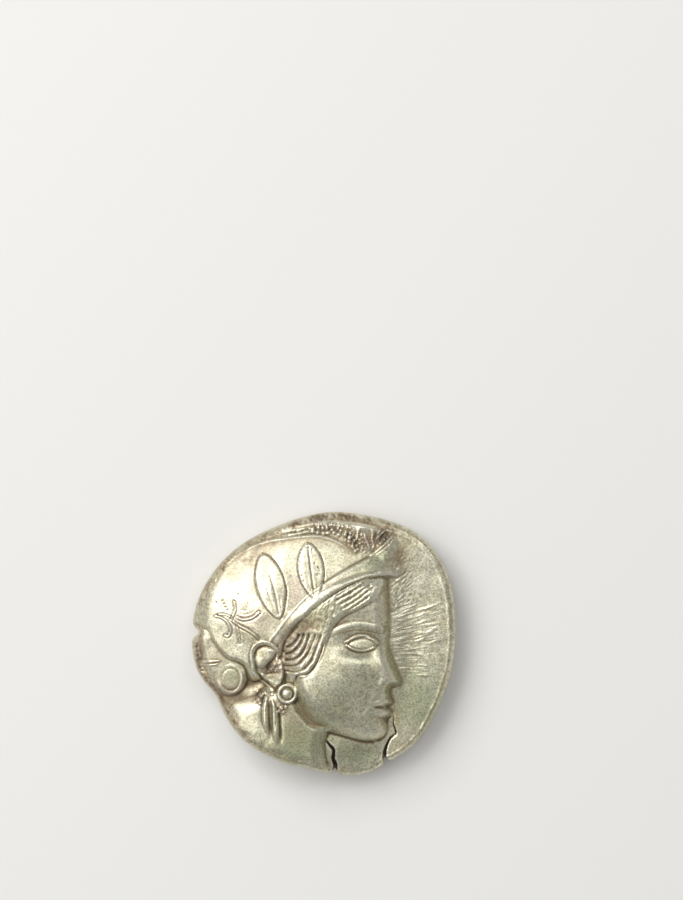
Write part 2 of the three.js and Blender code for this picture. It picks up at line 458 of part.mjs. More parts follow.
function coinGeometry() {
  const top = obverse(), under = reverse(), angles = rimAngles(), n = angles.length;
  const vertices = [], index = []; // rows of the rim, from the inner ring out to the outline
  const depths = [0, 14, 36, 62, 90].map((a) => EDGE_ROUND * (1 - Math.sin(rad(a))));
  const faces = [
    { height: (x, y) => top(x, y), budget: UPPER_TRIANGLES, up: true },
    { height: (x, y) => under(-x, y), budget: LOWER_TRIANGLES, up: false },
  ];
  const outer = faces.map(({ height, budget, up }) => {
    const place = (s, a, d) => [s * (rim(a) - d) * Math.cos(a), s * (rim(a) - d) * Math.sin(a)];
    const surface = (p, q) => height(...place(Math.hypot(p, q), Math.atan2(q, p), EDGE_ROUND));
    const ring = angles.map((a) => [Math.cos(a), Math.sin(a), height(...place(1, a, EDGE_ROUND))]);
    const { points, corners } = triangulate(ring, surface, budget);
    const start = vertices.length;
    for (const [p, q, z] of points) {
      vertices.push([...place(Math.hypot(p, q), Math.atan2(q, p), EDGE_ROUND), z]);
    }
    for (const [a, b, c] of corners) index.push((up ? [a, b, c] : [a, c, b]).map((k) => start + k));
    let inner = start; // rows of the rounded rim
    for (const d of depths.slice(1)) {
      const row = vertices.length;
      for (const a of angles) { const [x, y] = place(1, a, d); vertices.push([x, y, height(x, y)]); }
      index.push(...strip(inner, row, n, up));
      inner = row;
    }
    return inner;
  });
  index.push(...strip(outer[0], outer[1], n, true)); // the edge between the two faces
  const geometry = new THREE.BufferGeometry();
  geometry.setAttribute("position", new THREE.Float32BufferAttribute(vertices.flat(), 3));
  geometry.setIndex(index.flat());
  geometry.computeBoundingBox(); // the origin is under the middle of the coin's box
  const middle = geometry.boundingBox.getCenter(new THREE.Vector3());
  geometry.translate(-middle.x, -middle.y, -geometry.boundingBox.min.z);
  geometry.computeVertexNormals();
  return geometry;
}

function strip(inner, outer, n, outward) { // triangles between two rings of n points
  const out = [];
  for (let k = 0; k < n; k++) {
    const m = (k + 1) % n, quad = [[inner + k, outer + k, outer + m], [inner + k, outer + m, inner + m]];
    out.push(...(outward ? quad : quad.map(([a, b, c]) => [a, c, b])));
  }
  return out;
}

const silver = new THREE.MeshStandardMaterial({ color: 0xb9b2a0, roughness: 0.38, metalness: 1 });
silver.name = "worn silver";

const coin = new THREE.Mesh(coinGeometry(), silver);
coin.name = "coin";

const group = new THREE.Group();
group.name = "tetradrachm";
group.add(coin);

export default group;
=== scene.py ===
"""An Athenian silver tetradrachm lying flat, obverse up, on a pale floor.

The coin is one closed surface. Each struck face is a height function of x and y made of a few kinds of
relief (shoulders round an outline, half-round wires, caps of ellipsoids, soft mounds), laid on a square
grid that is pulled into the shape of the flan. Sizes are in millimetres until the mesh is written.
"""
from types import SimpleNamespace

import bpy
import numpy as np
from bpy.props import FloatProperty, FloatVectorProperty, IntProperty, PointerProperty
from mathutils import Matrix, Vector


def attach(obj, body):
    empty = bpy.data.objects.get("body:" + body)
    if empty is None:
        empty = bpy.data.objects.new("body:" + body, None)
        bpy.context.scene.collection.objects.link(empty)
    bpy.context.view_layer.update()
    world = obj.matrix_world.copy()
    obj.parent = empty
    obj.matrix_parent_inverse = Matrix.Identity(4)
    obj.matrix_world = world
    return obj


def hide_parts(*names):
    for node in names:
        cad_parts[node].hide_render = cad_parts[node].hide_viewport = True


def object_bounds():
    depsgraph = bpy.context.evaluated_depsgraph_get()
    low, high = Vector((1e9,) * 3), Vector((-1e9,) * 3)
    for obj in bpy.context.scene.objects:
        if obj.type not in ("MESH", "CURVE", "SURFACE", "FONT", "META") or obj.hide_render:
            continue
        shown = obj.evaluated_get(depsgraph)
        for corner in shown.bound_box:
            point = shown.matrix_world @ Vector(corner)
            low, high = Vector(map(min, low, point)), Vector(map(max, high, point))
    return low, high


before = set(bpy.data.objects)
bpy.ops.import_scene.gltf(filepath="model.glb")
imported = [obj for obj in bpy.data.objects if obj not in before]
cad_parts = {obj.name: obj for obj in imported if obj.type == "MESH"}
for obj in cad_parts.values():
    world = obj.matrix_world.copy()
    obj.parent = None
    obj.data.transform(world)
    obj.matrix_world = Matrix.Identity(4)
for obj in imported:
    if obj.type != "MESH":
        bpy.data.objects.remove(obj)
CAD_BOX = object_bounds()
MM = 0.001
CAD_MIDDLE = [(a + b) / 2 / MM for a, b in zip(*CAD_BOX)]

bl_info = {
    "name": "Struck Silver Tetradrachm",
    "version": (1, 0, 0),
    "blender": (4, 5, 0),
    "location": "3D View > Sidebar > Coin",
    "description": "An Athenian owl tetradrachm with its relief, toning and wear",
    "category": "Add Mesh",
}

# ---------------------------------------------------------------- small mathematics


def clamp(v, low=0.0, high=1.0):
    """v, held between low and high."""
    return np.clip(v, low, high)


def smooth(a, b, v):
    """Cubic step from 0 at a to 1 at b."""
    t = clamp((v - a) / (b - a))
    return t * t * (3 - 2 * t)


def swell(depth, width):
    """Quarter-round shoulder: a circle's arc from 0 at the outline to 1 at width inside it."""
    return np.sqrt(np.maximum(0, 1 - (1 - clamp(depth / width)) ** 2))


def roll(depth, width):
    """Gentler shoulder: a parabola from 0 at the outline to 1 at width inside it."""
    return 1 - (1 - clamp(depth / width)) ** 2


def dome(v):
    """Half-round: the square root of 1 - v squared, and 0 outside."""
    return np.sqrt(np.maximum(0, 1 - v * v))


def bell(v, width):
    """A bell curve: e to the minus (v / width) squared."""
    return np.exp(-((v / width) ** 2))


def soft_max(a, b, blend):
    """The larger of a and b, with a fillet where they meet."""
    h = clamp(0.5 + 0.5 * (a - b) / blend)
    return b + (a - b) * h + blend * h * (1 - h)


def turned(x, y, cx, cy, tilt):
    """x and y in a frame that stands at (cx, cy), turned by tilt degrees."""
    c, s = np.cos(np.radians(tilt)), np.sin(np.radians(tilt))
    return (x - cx) * c + (y - cy) * s, (y - cy) * c - (x - cx) * s


def ripple(x, y, size, seed, waves=16):
    """Uneven ground: cosine waves of about the given length in random directions, added together."""
    rng = np.random.default_rng(seed)
    total = np.zeros(np.shape(x))
    for angle, phase, pace in rng.uniform((0, 0, 0.6), (2 * np.pi, 2 * np.pi, 1.6), (waves, 3)):
        total += np.cos(2 * np.pi * pace / size * (x * np.cos(angle) + y * np.sin(angle)) + phase)
    return total / np.sqrt(waves)


def spline(points, closed=False, steps=8):
    """A smooth curve through the points: Catmull and Rom's cubic between each two."""
    p = np.array(points, float)
    q = (p[np.arange(-1, len(p) + 2) % len(p)] if closed
         else np.vstack([2 * p[0] - p[1], p, 2 * p[-1] - p[-2]]))
    a, b, c, d = (q[k:len(q) - 3 + k, None] for k in range(4))
    t = (np.arange(steps) / steps)[None, :, None]
    curve = 2 * b + (c - a) * t + (2 * a - 5 * b + 4 * c - d) * t**2 + (3 * b - a - 3 * c + d) * t**3
    curve = curve.reshape(-1, 2) / 2
    return curve if closed else np.vstack([curve, p[-1]])


def walk(path, pitch, start=0.0):
    """Evenly spaced points along a path."""
    gone = np.concatenate([[0], np.cumsum(np.hypot(*np.diff(path, axis=0).T))])
    s = np.arange(start, gone[-1], pitch)
    return np.column_stack([np.interp(s, gone, path[:, 0]), np.interp(s, gone, path[:, 1])])


def nearest(x, y, path, reach):
    """Distance to a path, up to reach, and the share of its length at which the nearest point lies."""
    dist, place = np.full(np.shape(x), float(reach)), np.zeros(np.shape(x))
    low, high = path.min(0) - reach, path.max(0) + reach
    near = (x > low[0]) & (x < high[0]) & (y > low[1]) & (y < high[1])
    px, py = x[near], y[near]
    best, where = dist[near], place[near]
    step = np.diff(path, axis=0)
    length = np.hypot(*step.T)
    gone = np.concatenate([[0], np.cumsum(length)])
    for (ax, ay), (dx, dy), size, s in zip(path, step, length, gone):
        if size == 0:
            continue
        t = clamp(((px - ax) * dx + (py - ay) * dy) / size**2)
        d = np.hypot(px - ax - t * dx, py - ay - t * dy)
        where = np.where(d < best, (s + t * size) / gone[-1], where)
        best = np.minimum(d, best)
    dist[near], place[near] = best, where
    return dist, place


def depth_in(x, y, outline, reach):
    """Distance to a closed outline for points inside it, and 0 outside."""
    ring = np.vstack([outline, outline[:1]])
    low, high = ring.min(0), ring.max(0)
    box = (x > low[0]) & (x < high[0]) & (y > low[1]) & (y < high[1])
    px, py = x[box], y[box]
    inside = np.zeros(px.shape, bool)
    for (ax, ay), (bx, by) in zip(ring, ring[1:]):
        if ay != by:
            inside ^= ((ay > py) != (by > py)) & (px < (bx - ax) * (py - ay) / (by - ay) + ax)
    depth = np.zeros(np.shape(x))
    depth[box] = np.where(inside, nearest(px, py, ring, reach)[0], 0)
    return depth


def soft_depth(x, y, outline, reach):
    """Depth inside an outline without the creases where its nearest side changes: the depth itself near the
    outline, and further in the sum over the outline of (distance)^-6, brought back to a distance."""
    depth = depth_in(x, y, outline, reach)
    ring = walk(np.vstack([outline, outline[:1]]), 0.2)
    deep = depth > 0.08
    total = np.zeros(deep.sum())
    for px, py in ring:
        total += ((x[deep] - px) ** 2 + (y[deep] - py) ** 2) ** -3
    even = (total * 0.2 / 1.178) ** -0.2
    share = smooth(0.08, 0.5, depth[deep])
    depth[deep] = depth[deep] * (1 - share) + even * share
    return depth


# ---------------------------------------------------------------- kinds of relief


def thinned(t, fade):
    """1 along a curve, eased to 0 over the shares fade of its two ends."""
    ends = smooth(0, fade[0], t) if fade[0] else 1.0
    return ends * (1 - smooth(1 - fade[1], 1, t)) if fade[1] else ends


def wire(x, y, points, half, high, fade=(0, 0), steps=8):
    """A half-round wire along a curve: high * sqrt(1 - (distance / half)^2), thinned out at its ends."""
    path = spline(points, steps=steps) if steps > 1 else np.array(points, float)
    half = np.atleast_1d(half)
    d, t = nearest(x, y, path, half.max() * 1.05)
    width = np.interp(t, np.linspace(0, 1, half.size), half)
    return high * thinned(t, fade) * dome(d / width)


def groove(x, y, points, width, deep, fade=(0.12, 0.12), steps=8):
    """A sharp groove along a curve: deep * exp(-distance / width), thinned out at its ends."""
    path = spline(points, steps=steps) if steps > 1 else np.array(points, float)
    reach = 5 * width
    d, t = nearest(x, y, path, reach)
    return deep * thinned(t, fade) * np.where(d < reach, np.exp(-d / width), 0)


def cap(x, y, cx, cy, a, b, tilt, high, power=0.5):
    """The cap of an ellipsoid: high * (1 - (u/a)^2 - (v/b)^2)^power."""
    u, v = turned(x, y, cx, cy, tilt)
    return high * np.maximum(0, 1 - (u / a) ** 2 - (v / b) ** 2) ** power


def mound(x, y, cx, cy, a, b, tilt, high):
    """A rise or, with a negative height, a hollow: high * exp(-(u/a)^2 - (v/b)^2)."""
    u, v = turned(x, y, cx, cy, tilt)
    return high * bell(u, a) * bell(v, b)


def leaf(x, y, base, tip, half, high, veins=()):
    """A leaf with a pointed base and a rounder tip, half-width times 2.82 s^0.8 (1 - s)^0.7 at the share s
    of its length, a sunk line round it, and veins that fan out from the base: share of the half-width,
    depth, and how far up each runs."""
    (bx, by), (tx, ty) = base, tip
    size = np.hypot(tx - bx, ty - by)
    u, v = turned(x, y, bx, by, np.degrees(np.arctan2(ty - by, tx - bx)))
    s = clamp(u / size)
    width = half * np.maximum(1e-4, 2.818 * s**0.8 * (1 - s)**0.7)
    side = np.abs(v)
    body = (high * np.sqrt(np.maximum(0, 1 - (side / width) ** 4))
            * smooth(0, 0.06, s) * smooth(0, 0.05, 1 - s))
    for share, deep, far in veins:
        body = body - deep * np.exp(-np.abs(v - share * width) / 0.06) * smooth(0.02, 0.1, s) \
            * (1 - smooth(0.6 * far, far, s)) * smooth(1, 0.8, side / width)
    inside = (u > 0) & (u < size) & (side < width)
    ends = smooth(-0.04, 0.04, u / size) * (1 - smooth(0.98, 1.03, u / size))
    return np.where(inside, body, -0.08 * bell(side - width - 0.03, 0.06) * ends)


def button(x, y, cx, cy, a, b, ring, ring_half, ring_high, middle, middle_high, lean):
    """A ringed button: a hoop at the radius ring, fuller on its right by the share lean, and a rounded
    middle; and how far its ground reaches."""
    r, way = np.hypot((x - cx) / a, (y - cy) / b), np.arctan2(y - cy, x - cx)
    hoop = ring_high * (1 - lean + lean * np.cos(way + 0.5) + 0.06 * np.sin(5 * way + 1))
    sunk = 0.3 * ring_high * bell(r - ring + 0.2, 0.06)
    return (hoop * dome((r - ring) / ring_half) - sunk + middle_high * dome(r / middle),
            smooth(ring + 0.35, ring, r))


# ---------------------------------------------------------------- the flan

RIM_BUMPS = (  # where the outline leaves the circle: at angle, half-width, out by
    (43, 20, 1.4), (86, 8, 0.12), (112, 12, -0.27), (163, 16, 0.27), (174.5, 1.6, -0.65), (206, 7.5, -0.88),
    (221, 5, -0.25), (243, 20, -0.62), (262, 5, -0.25), (285, 8, 0.38), (290, 5, 0.12), (311, 12, 0.42),
    (330, 10, -0.05))
CRACKS = (  # at angle, mouth, bite; then the crack's line, half-widths, depth and where it starts to open
    (275.2, 0.9, 0.45, [(0.15, -8.3), (0.55, -8.8), (0.9, -9.25), (0.85, -10), (1.05, -10.6), (1, -11.5),
                        (1, -12.2)],
     (0.08, 0.12, 0.15, 0.22, 0.26), 1.0, 0.25),
    (298.3, 0.8, 0.5, [(6, -5.4), (6.2, -6.2), (6.2, -7), (6.4, -7.8), (5.85, -8.3), (5.4, -9.6),
                       (5.65, -11.2)],
     (0.05, 0.06, 0.07, 0.11, 0.17, 0.2), 0.8, 0.6))


def rim(angle, size, nicks=1.0):
    """Radius of the outline: the mean radius, plus a bell at each bump and a bite at each crack. The narrow
    ones count by the share nicks."""
    degrees = np.degrees(angle)
    radius = np.full(np.shape(angle), size.mean_radius)
    for at, width, out in RIM_BUMPS + tuple((c[0], c[1], -c[2]) for c in CRACKS):
        off = (degrees - at + 180) % 360 - 180
        radius = radius + (nicks if width < 3 else 1) * out * np.exp(-0.5 * (off / width) ** 2)
    return radius


def rounding(angle, size):
    """Width of the rounded edge, a little uneven round the flan."""
    return size.edge_round * (1 + 0.15 * np.cos(3 * angle + 1))


def cracks(x, y):
    """How deep the flan's cracks run: half-round wires along their lines, to be taken off."""
    return sum(wire(x, y, line, half, deep, (start, 0)) for _, _, _, line, half, deep, start in CRACKS)


# ---------------------------------------------------------------- obverse: the helmeted head

FACE_TALL, FACE_TILT, HAIRLINE = 14.7, -3.5, (6.05, 6.05)


def face_point(down, ahead):
    """Shares of the face's height below the hairline and ahead of it, as a place on the coin."""
    c, s = np.cos(np.radians(FACE_TILT)), np.sin(np.radians(FACE_TILT))
    return (HAIRLINE[0] + FACE_TALL * (down * s + ahead * c),
            HAIRLINE[1] + FACE_TALL * (ahead * s - down * c))


def face_line(*shares):
    """The same for a row of such pairs."""
    return [face_point(*share) for share in shares]


def face(x, y, z, neck_high, size, field):
    """The face, laid on the ground z and over the neck: an ideal profile in three equal thirds (brow, base
    of the nose, chin) with a parabolic shoulder, bells for cheek, brow, nose and chin, a hollow for the
    socket, and the eye, brow, nose wing and lips on it."""
    profile = face_line(
        (-0.03, -0.16), (0, -0.035), (0.12, -0.008), (0.25, 0.006), (0.335, 0.012), (0.39, 0.01),
        (0.47, 0.036), (0.56, 0.078), (0.61, 0.102), (0.638, 0.102), (0.658, 0.08), (0.668, 0.046),
        (0.7, 0.038), (0.745, 0.056), (0.766, 0.052), (0.782, 0.036), (0.8, 0.048), (0.83, 0.046),
        (0.865, 0.028), (0.895, 0.032), (0.93, 0.032), (0.965, 0.012), (0.99, -0.028), (1, -0.085),
        (0.995, -0.15),
        (0.98, -0.22), (0.96, -0.32), (0.945, -0.415))
    back = [(-1.5, -7.1), (-2.5, -5.9), (-3.2, -4.4), (-3.9, -2.5), (-4.5, 0.4), (-4.1, 3.2), (-0.6, 6.3)]
    d = soft_depth(x, y, np.vstack([spline(profile), back]), 3)
    p = face_point
    forms = sum(mound(x, y, *p(*at), a, b, tilt, high) for at, a, b, tilt, high in (
        ((0.67, -0.36), 3.8, 3.4, 0, 0.82), ((0.52, -0.2), 2, 1, -10, 0.2),          # cheek
        ((0.12, -0.25), 4.5, 2.6, 30, 0.3), ((0.405, -0.14), 1.9, 1, 8, -0.55),      # brow, socket
        ((0.57, 0.03), 0.7, 2.2, 22, 0.28), ((0.64, 0.015), 0.8, 0.6, 0, 0.2),       # nose
        ((0.69, -0.06), 1.0, 1.3, 20, -0.1),                                         # fold
        ((0.866, -0.03), 1.0, 0.6, 0, -0.03), ((0.93, -0.055), 1.4, 1.3, 0, 0.2)))     # chin
    edge = roll(d, 1.5 + 0.9 * smooth(0.5, -3, x) + 0.7 * smooth(-3.5, -6.5, y))
    edge = edge * smooth(-0.1, 0.2, d)
    high = field + size.head_swell + size.cheek_high + forms
    ground, under = np.maximum(z, neck_high), z + np.maximum(0, neck_high - z) * (1 - smooth(0, 0.7, d))
    z = under + (high - under) * edge
    z += wire(x, y, face_line((0.325, -0.02), (0.3, -0.1), (0.295, -0.2), (0.33, -0.3), (0.375, -0.37)),
              (0.35, 0.42, 0.35, 0.2), 0.2, (0.05, 0.35))                              # eyebrow
    z += cap(x, y, *p(0.408, -0.15), 1.35, 0.62, 6, 0.42, 0.6)                         # eyeball and lids
    z += wire(x, y, face_line((0.405, -0.052), (0.372, -0.095), (0.358, -0.15), (0.372, -0.205),
                              (0.408, -0.262)),
              (0.13, 0.17, 0.17, 0.12), 0.3, (0.05, 0.1))
    z += wire(x, y, face_line((0.42, -0.068), (0.442, -0.12), (0.448, -0.165), (0.436, -0.215),
                              (0.412, -0.255)),
              (0.1, 0.13, 0.13, 0.1), 0.22, (0.08, 0.1))
    wing = nearest(x, y, spline(face_line((0.59, -0.02), (0.615, -0.042), (0.645, -0.045), (0.67, -0.025))),
                   1)
    behind_wing = 0.055 * bell(wing[0], 0.22) * smooth(0, 0.4, wing[1]) * smooth(1, 0.7, wing[1])
    z -= behind_wing
    z += mound(x, y, *p(0.667, 0.05), 0.34, 0.15, 0, -0.14)                            # nostril
    z += cap(x, y, *p(0.748, 0.002), 1.0, 0.36, 6, 0.17, 1) + cap(x, y, *p(0.815, 0), 0.9, 0.42, -6, 0.18, 1)
    z -= groove(x, y, face_line((0.781, 0.05), (0.78, -0.02), (0.784, -0.08)), 0.09, 0.2,
                (0, 0.4))       # mouth
    return np.where(d > 0, z, ground)


def neck(x, y, size, field):
    """The neck: its outline's depth through a parabolic shoulder, higher towards the front, and a broad
    bell."""
    outline = spline([(0.35, -8), (0.15, -9.5), (0.1, -12.8), (-5, -13), (-10.5, -10), (-8.6, -6.6),
                      (-8.1, -5.3),
                      (-7.2, -4.75), (-6, -4.35), (-5.2, -3.6), (-3, -2.6), (0, -2.5), (2, -5)], True)
    d = soft_depth(x, y, outline, 4)
    full = size.neck_high * (0.4 + 0.8 * smooth(-11.5, -3.5, x - 0.2 * (y + 7))) * roll(d, 1.5)
    full = full + mound(x, y, -3.2, -7.5, 3, 6, 0, 0.12) * roll(d, 1.2)
    return np.where(d > 0, field + size.head_swell + full, 0)


def hair(x, y):
    """A rounded mass of hair cut into leaning S-shaped temple locks and a slanting fringe, a beaded knot,
    and two locks that hang on the neck."""
    mass = spline([(-4.5, 0.6), (-4.4, 1.6), (-3.6, 3.0), (0, 5.0), (3, 6.5), (5.9, 6.8), (5.3, 4.9),
                   (4.4, 4), (3.2, 3.3),
                   (1.8, 2.6), (0.9, 1.6), (0.35, 0.4), (-0.1, -0.9), (-0.75, -1.9), (-1.4, -2.6),
                   (-2.3, -2.85),
                   (-2.75, -3.3), (-3.3, -3.2), (-3.6, -2.6), (-4.0, -2.1), (-4.1, -1)], True)
    d = soft_depth(x, y, mass, 1)
    uneven = 1 + 0.06 * ripple(x, y, 0.7, 61) + 0.03 * ripple(x, y, 0.35, 62, 24)
    up = 0.3 * roll(d, 0.6) * uneven - mound(x, y, -2.1, 1.4, 1.5, 1.1, 40, 0.2)
    for line in (
            [(-2.05, 1.15), (-2.35, 0.6), (-2.8, 0.15), (-3.35, -0.1)],
            [(-1.65, 1.25), (-2.0, 0.35), (-2.45, -0.2), (-2.95, -0.56), (-3.5, -0.7)],
            [(-1.2, 1.3), (-1.5, 0.2), (-1.85, -0.47), (-2.3, -0.92), (-2.85, -1.14), (-3.55, -1.18)],
            [(-0.6, 1.3), (-0.97, 0.33), (-1.33, -0.47), (-1.78, -1.08), (-2.22, -1.5), (-2.85, -1.7),
             (-3.7, -1.68)],
            [(-0.1, 1.35), (-0.5, 0.25), (-0.8, -0.47), (-1.07, -1.18), (-1.5, -1.72), (-1.98, -2.06),
             (-2.6, -2.2),
             (-3.8, -2.05)],
            [(0.1, 0.5), (-0.28, -0.7), (-0.65, -1.5), (-1.08, -2.1), (-1.5, -2.42), (-2.25, -2.55),
             (-2.5, -3.1)]):
        up = up - groove(x, y, line, 0.085, 0.3, (0.1, 0.12))
    up = up - groove(x, y, [(-2.05, 1.95), (-2.6, 1.4), (-3.2, 0.75)], 0.06, 0.15, (0.2, 0.2))
    for line in (
            [(1.0, 4.35), (1.9, 4.9), (3.1, 5.6)], [(0.85, 3.95), (2.1, 4.62), (3.3, 5.42), (4.2, 5.9)],
            [(1.2, 3.62), (2.6, 4.36), (3.75, 5.2), (4.6, 5.75)],
            [(1.45, 3.2), (2.9, 4.08), (4.0, 4.92), (4.8, 5.45)],
            [(2.0, 3.1), (3.0, 3.7), (4.2, 4.55)]):
        up = up - groove(x, y, line, 0.07, 0.2, (0.15, 0.2))
    for line in ([(-0.35, 1.2), (-0.72, 0.3), (-1.05, -0.5), (-1.4, -1.2)],
                 [(-0.9, 1.1), (-1.22, 0.25), (-1.6, -0.5)],
                 [(-1.9, -1.75), (-2.5, -1.95), (-3.4, -1.88)], [(1.5, 4.3), (2.6, 4.95), (3.6, 5.5)]):
        up = up - groove(x, y, line, 0.055, 0.12, (0.2, 0.2))
    for kx, ky, r in ((-6.45, -0.1, 0.24), (-6.15, 0.18, 0.26), (-5.9, 0.45, 0.24), (-5.5, 0.58, 0.22),
                      (-5.1, 0.62, 0.2),
                      (-6.4, -0.55, 0.2), (-6.62, 0.2, 0.18), (-6.3, 0.6, 0.2), (-5.8, 0.8, 0.18),
                      (-5.55, -4.35, 0.2),
                      (-5.75, -4.7, 0.18), (-5.2, -4.1, 0.2), (-4.55, -4.2, 0.2), (-5.6, -5.05, 0.16),
                      (-3.7, -5.45, 0.2), (-3.3, -5.35, 0.18), (-3.95, -5.75, 0.16), (-3.5, -5.8, 0.14)):
        up = up + cap(x, y, kx, ky, r, r, 0, 0.14)
    for points, half, high, fade in (
            ([(-4.95, -4.15), (-5.15, -5.2), (-5.12, -6.6), (-4.85, -8.2)], (0.14, 0.24, 0.26, 0.1), 0.24,
             (0.1, 0.4)),
            ([(-4.6, -4.5), (-4.3, -5.6), (-4.22, -7.0), (-4.15, -8.9)], (0.1, 0.28, 0.32, 0.2), 0.26,
             (0.15, 0.35))):
        up = up + wire(x, y, points, half, high, fade)
    for points, deep in (([(-5.4, -4.7), (-5.48, -6.0), (-5.3, -7.6)], 0.12),
                         ([(-4.78, -4.6), (-4.75, -6.4), (-4.55, -8.4)], 0.26),
                         ([(-4.25, -5.2), (-4.15, -6.2), (-4.25, -7.4)], 0.08),
                         ([(-3.9, -5.6), (-3.8, -7.3), (-3.7, -8.9)], 0.24)):
        up = up - groove(x, y, points, 0.13, deep, (0.2, 0.35))
    return up


def bowl(x, y, size, field):
    """The helmet's bowl: a broad elliptic paraboloid, highest by the visor, that runs out under the crest and
    the visor, and ends below in the neck guard beside the ear."""
    outline = spline([(-10.55, 0.7), (-11.2, 1.6), (-11.6, 2.8), (-11.4, 4.5), (-10.6, 6.7), (-9.4, 8.3),
                      (-7.7, 9.7),
                      (-5.8, 10.5), (-3.9, 11.0), (-2, 11.3), (-0.3, 11.4), (1.6, 11.3), (3.4, 10.9),
                      (5.2, 10.3),
                      (6.6, 9.3), (6.3, 7.2), (3.9, 5.5), (1.1, 3.6), (-1.7, 0.9), (-3.2, -1), (-4.4, -2.3),
                      (-5.6, -3.2),
                      (-6.3, -3.3), (-6.8, -3.0), (-7.0, -2.5), (-7.3, -2.0), (-7.8, -1.75), (-8.3, -1.65),
                      (-8.85, -1.35), (-9.5, -0.75), (-10.05, 0.0)], True)
    d = soft_depth(x, y, outline, 2)
    low_end = smooth(2.2, -0.4, x * 0.3 + y + 2.2)
    u, v = turned(x, y, -2.4, 1.7, 38)
    full = size.bowl_high * (1.06 - 0.56 * clamp(np.hypot(u / 7.9, v / 7.7), 0, 1.2) ** 2)
    lip = 0.07 * bell(d - 0.12, 0.09) * smooth(-7.2, -8.2, x) * low_end
    body = (full * (1 - 0.16 * low_end) + 0.15) * roll(d, 1.8 - 1.0 * low_end)
    return np.where(d > 0, field + 0.05 + body + lip, 0)


def guard_plate(x, y, field):
    """The neck guard behind the bowl: a low plate with a rounded shoulder, a little higher towards the
    bowl."""
    outline = spline([(-11.3, 1.4), (-11.2, -0.6), (-10.7, -2.2), (-10.0, -3.5), (-9.3, -4.5), (-8.3, -4.75),
                      (-7.2, -4.3),
                      (-6.5, -3.4), (-6.2, -1.5), (-8, 1), (-10, 2)], True)
    rise = smooth(-2.2, 0, 0.78 * (x + 9.5) + 0.63 * (y + 0.75))
    return field + (0.62 + 0.28 * rise) * roll(depth_in(x, y, outline, 2), 1.0)


def ornament(x, y):
    """Two upright olive leaves, and the palmette: a curl, its stem and petals, each between sunk lines."""
    up = leaf(x, y, (-3.85, 2.35), (-5.35, 8.15), 1.25, 0.15,
              ((-0.12, 0.14, 0.75), (0.3, 0.07, 0.6), (-0.5, 0.05, 0.4)))
    up = up + leaf(x, y, (-0.75, 4.2), (-1.38, 9.1), 1.14, 0.15,
                   ((0.03, 0.14, 1.1), (0.4, 0.05, 0.5), (-0.4, 0.05, 0.5)))
    up = up - groove(x, y, [(-3.35, 5.6), (-3.2, 4.6), (-3.55, 3.3)], 0.05, 0.07, (0.2, 0.2))
    for points, half, high in (
            ([(-9.5, 2.6), (-9.0, 2.5), (-8.5, 2.15), (-8.2, 1.6), (-8.2, 1.15), (-8.4, 0.85), (-8.65, 0.9)],
             (0.04, 0.08, 0.11, 0.12, 0.1, 0.07), 0.07),                                     # curl
            ([(-8.1, 2.35), (-7.4, 1.8), (-6.7, 1.45), (-6.1, 1.05), (-5.75, 0.7)], (0.08, 0.12, 0.14, 0.13),
             0.1),
            ([(-8.05, 2.45), (-7.85, 2.9), (-7.75, 3.3), (-7.85, 3.9)], (0.07, 0.09, 0.03), 0.06),   # petals
            ([(-8.05, 2.5), (-8.6, 2.75), (-9.25, 2.75)], (0.06, 0.08, 0.03), 0.05),
            ([(-7.6, 2.5), (-6.95, 2.35), (-6.2, 2.55), (-5.65, 3.0)], (0.07, 0.14, 0.11, 0.03), 0.08),
            ([(-7.6, 1.8), (-7.45, 1.1), (-7.35, 0.3)], (0.07, 0.08, 0.04), 0.05)):
        near = nearest(x, y, spline(points), 0.7)[0]
        up = up + wire(x, y, points, half, high, (0.1, 0.12)) - 0.08 * bell(near - max(half) - 0.02, 0.045)
    for points in ([(-7.5, 2.95), (-6.9, 2.8), (-6.3, 2.95), (-5.8, 3.3)],
                   [(-7.4, 3.25), (-7.0, 3.15), (-6.6, 3.25)],
                   [(-7.15, 1.3), (-6.95, 0.7), (-6.95, 0.1)], [(-6.8, 1.75), (-6.2, 1.5), (-5.8, 1.25)]):
        up = up - groove(x, y, points, 0.05, 0.035, (0.2, 0.2))
    for px, py in ((-8.87, 4.0), (-8.73, 3.75), (-8.6, 3.45), (-8.45, 3.2), (-9.45, 3.85), (-7.5, 4.6),
                   (-1.3, 8.7),
                   (-1.55, 8.8), (-1.0, 8.5), (-0.75, 7.3), (-0.45, 7.0), (-2.1, 7.4), (-1.9, 6.2),
                   (-1.75, 5.7), (-0.5, 6.3)):
        up = up - mound(x, y, px, py, 0.08, 0.08, 0, 0.07)
    return up


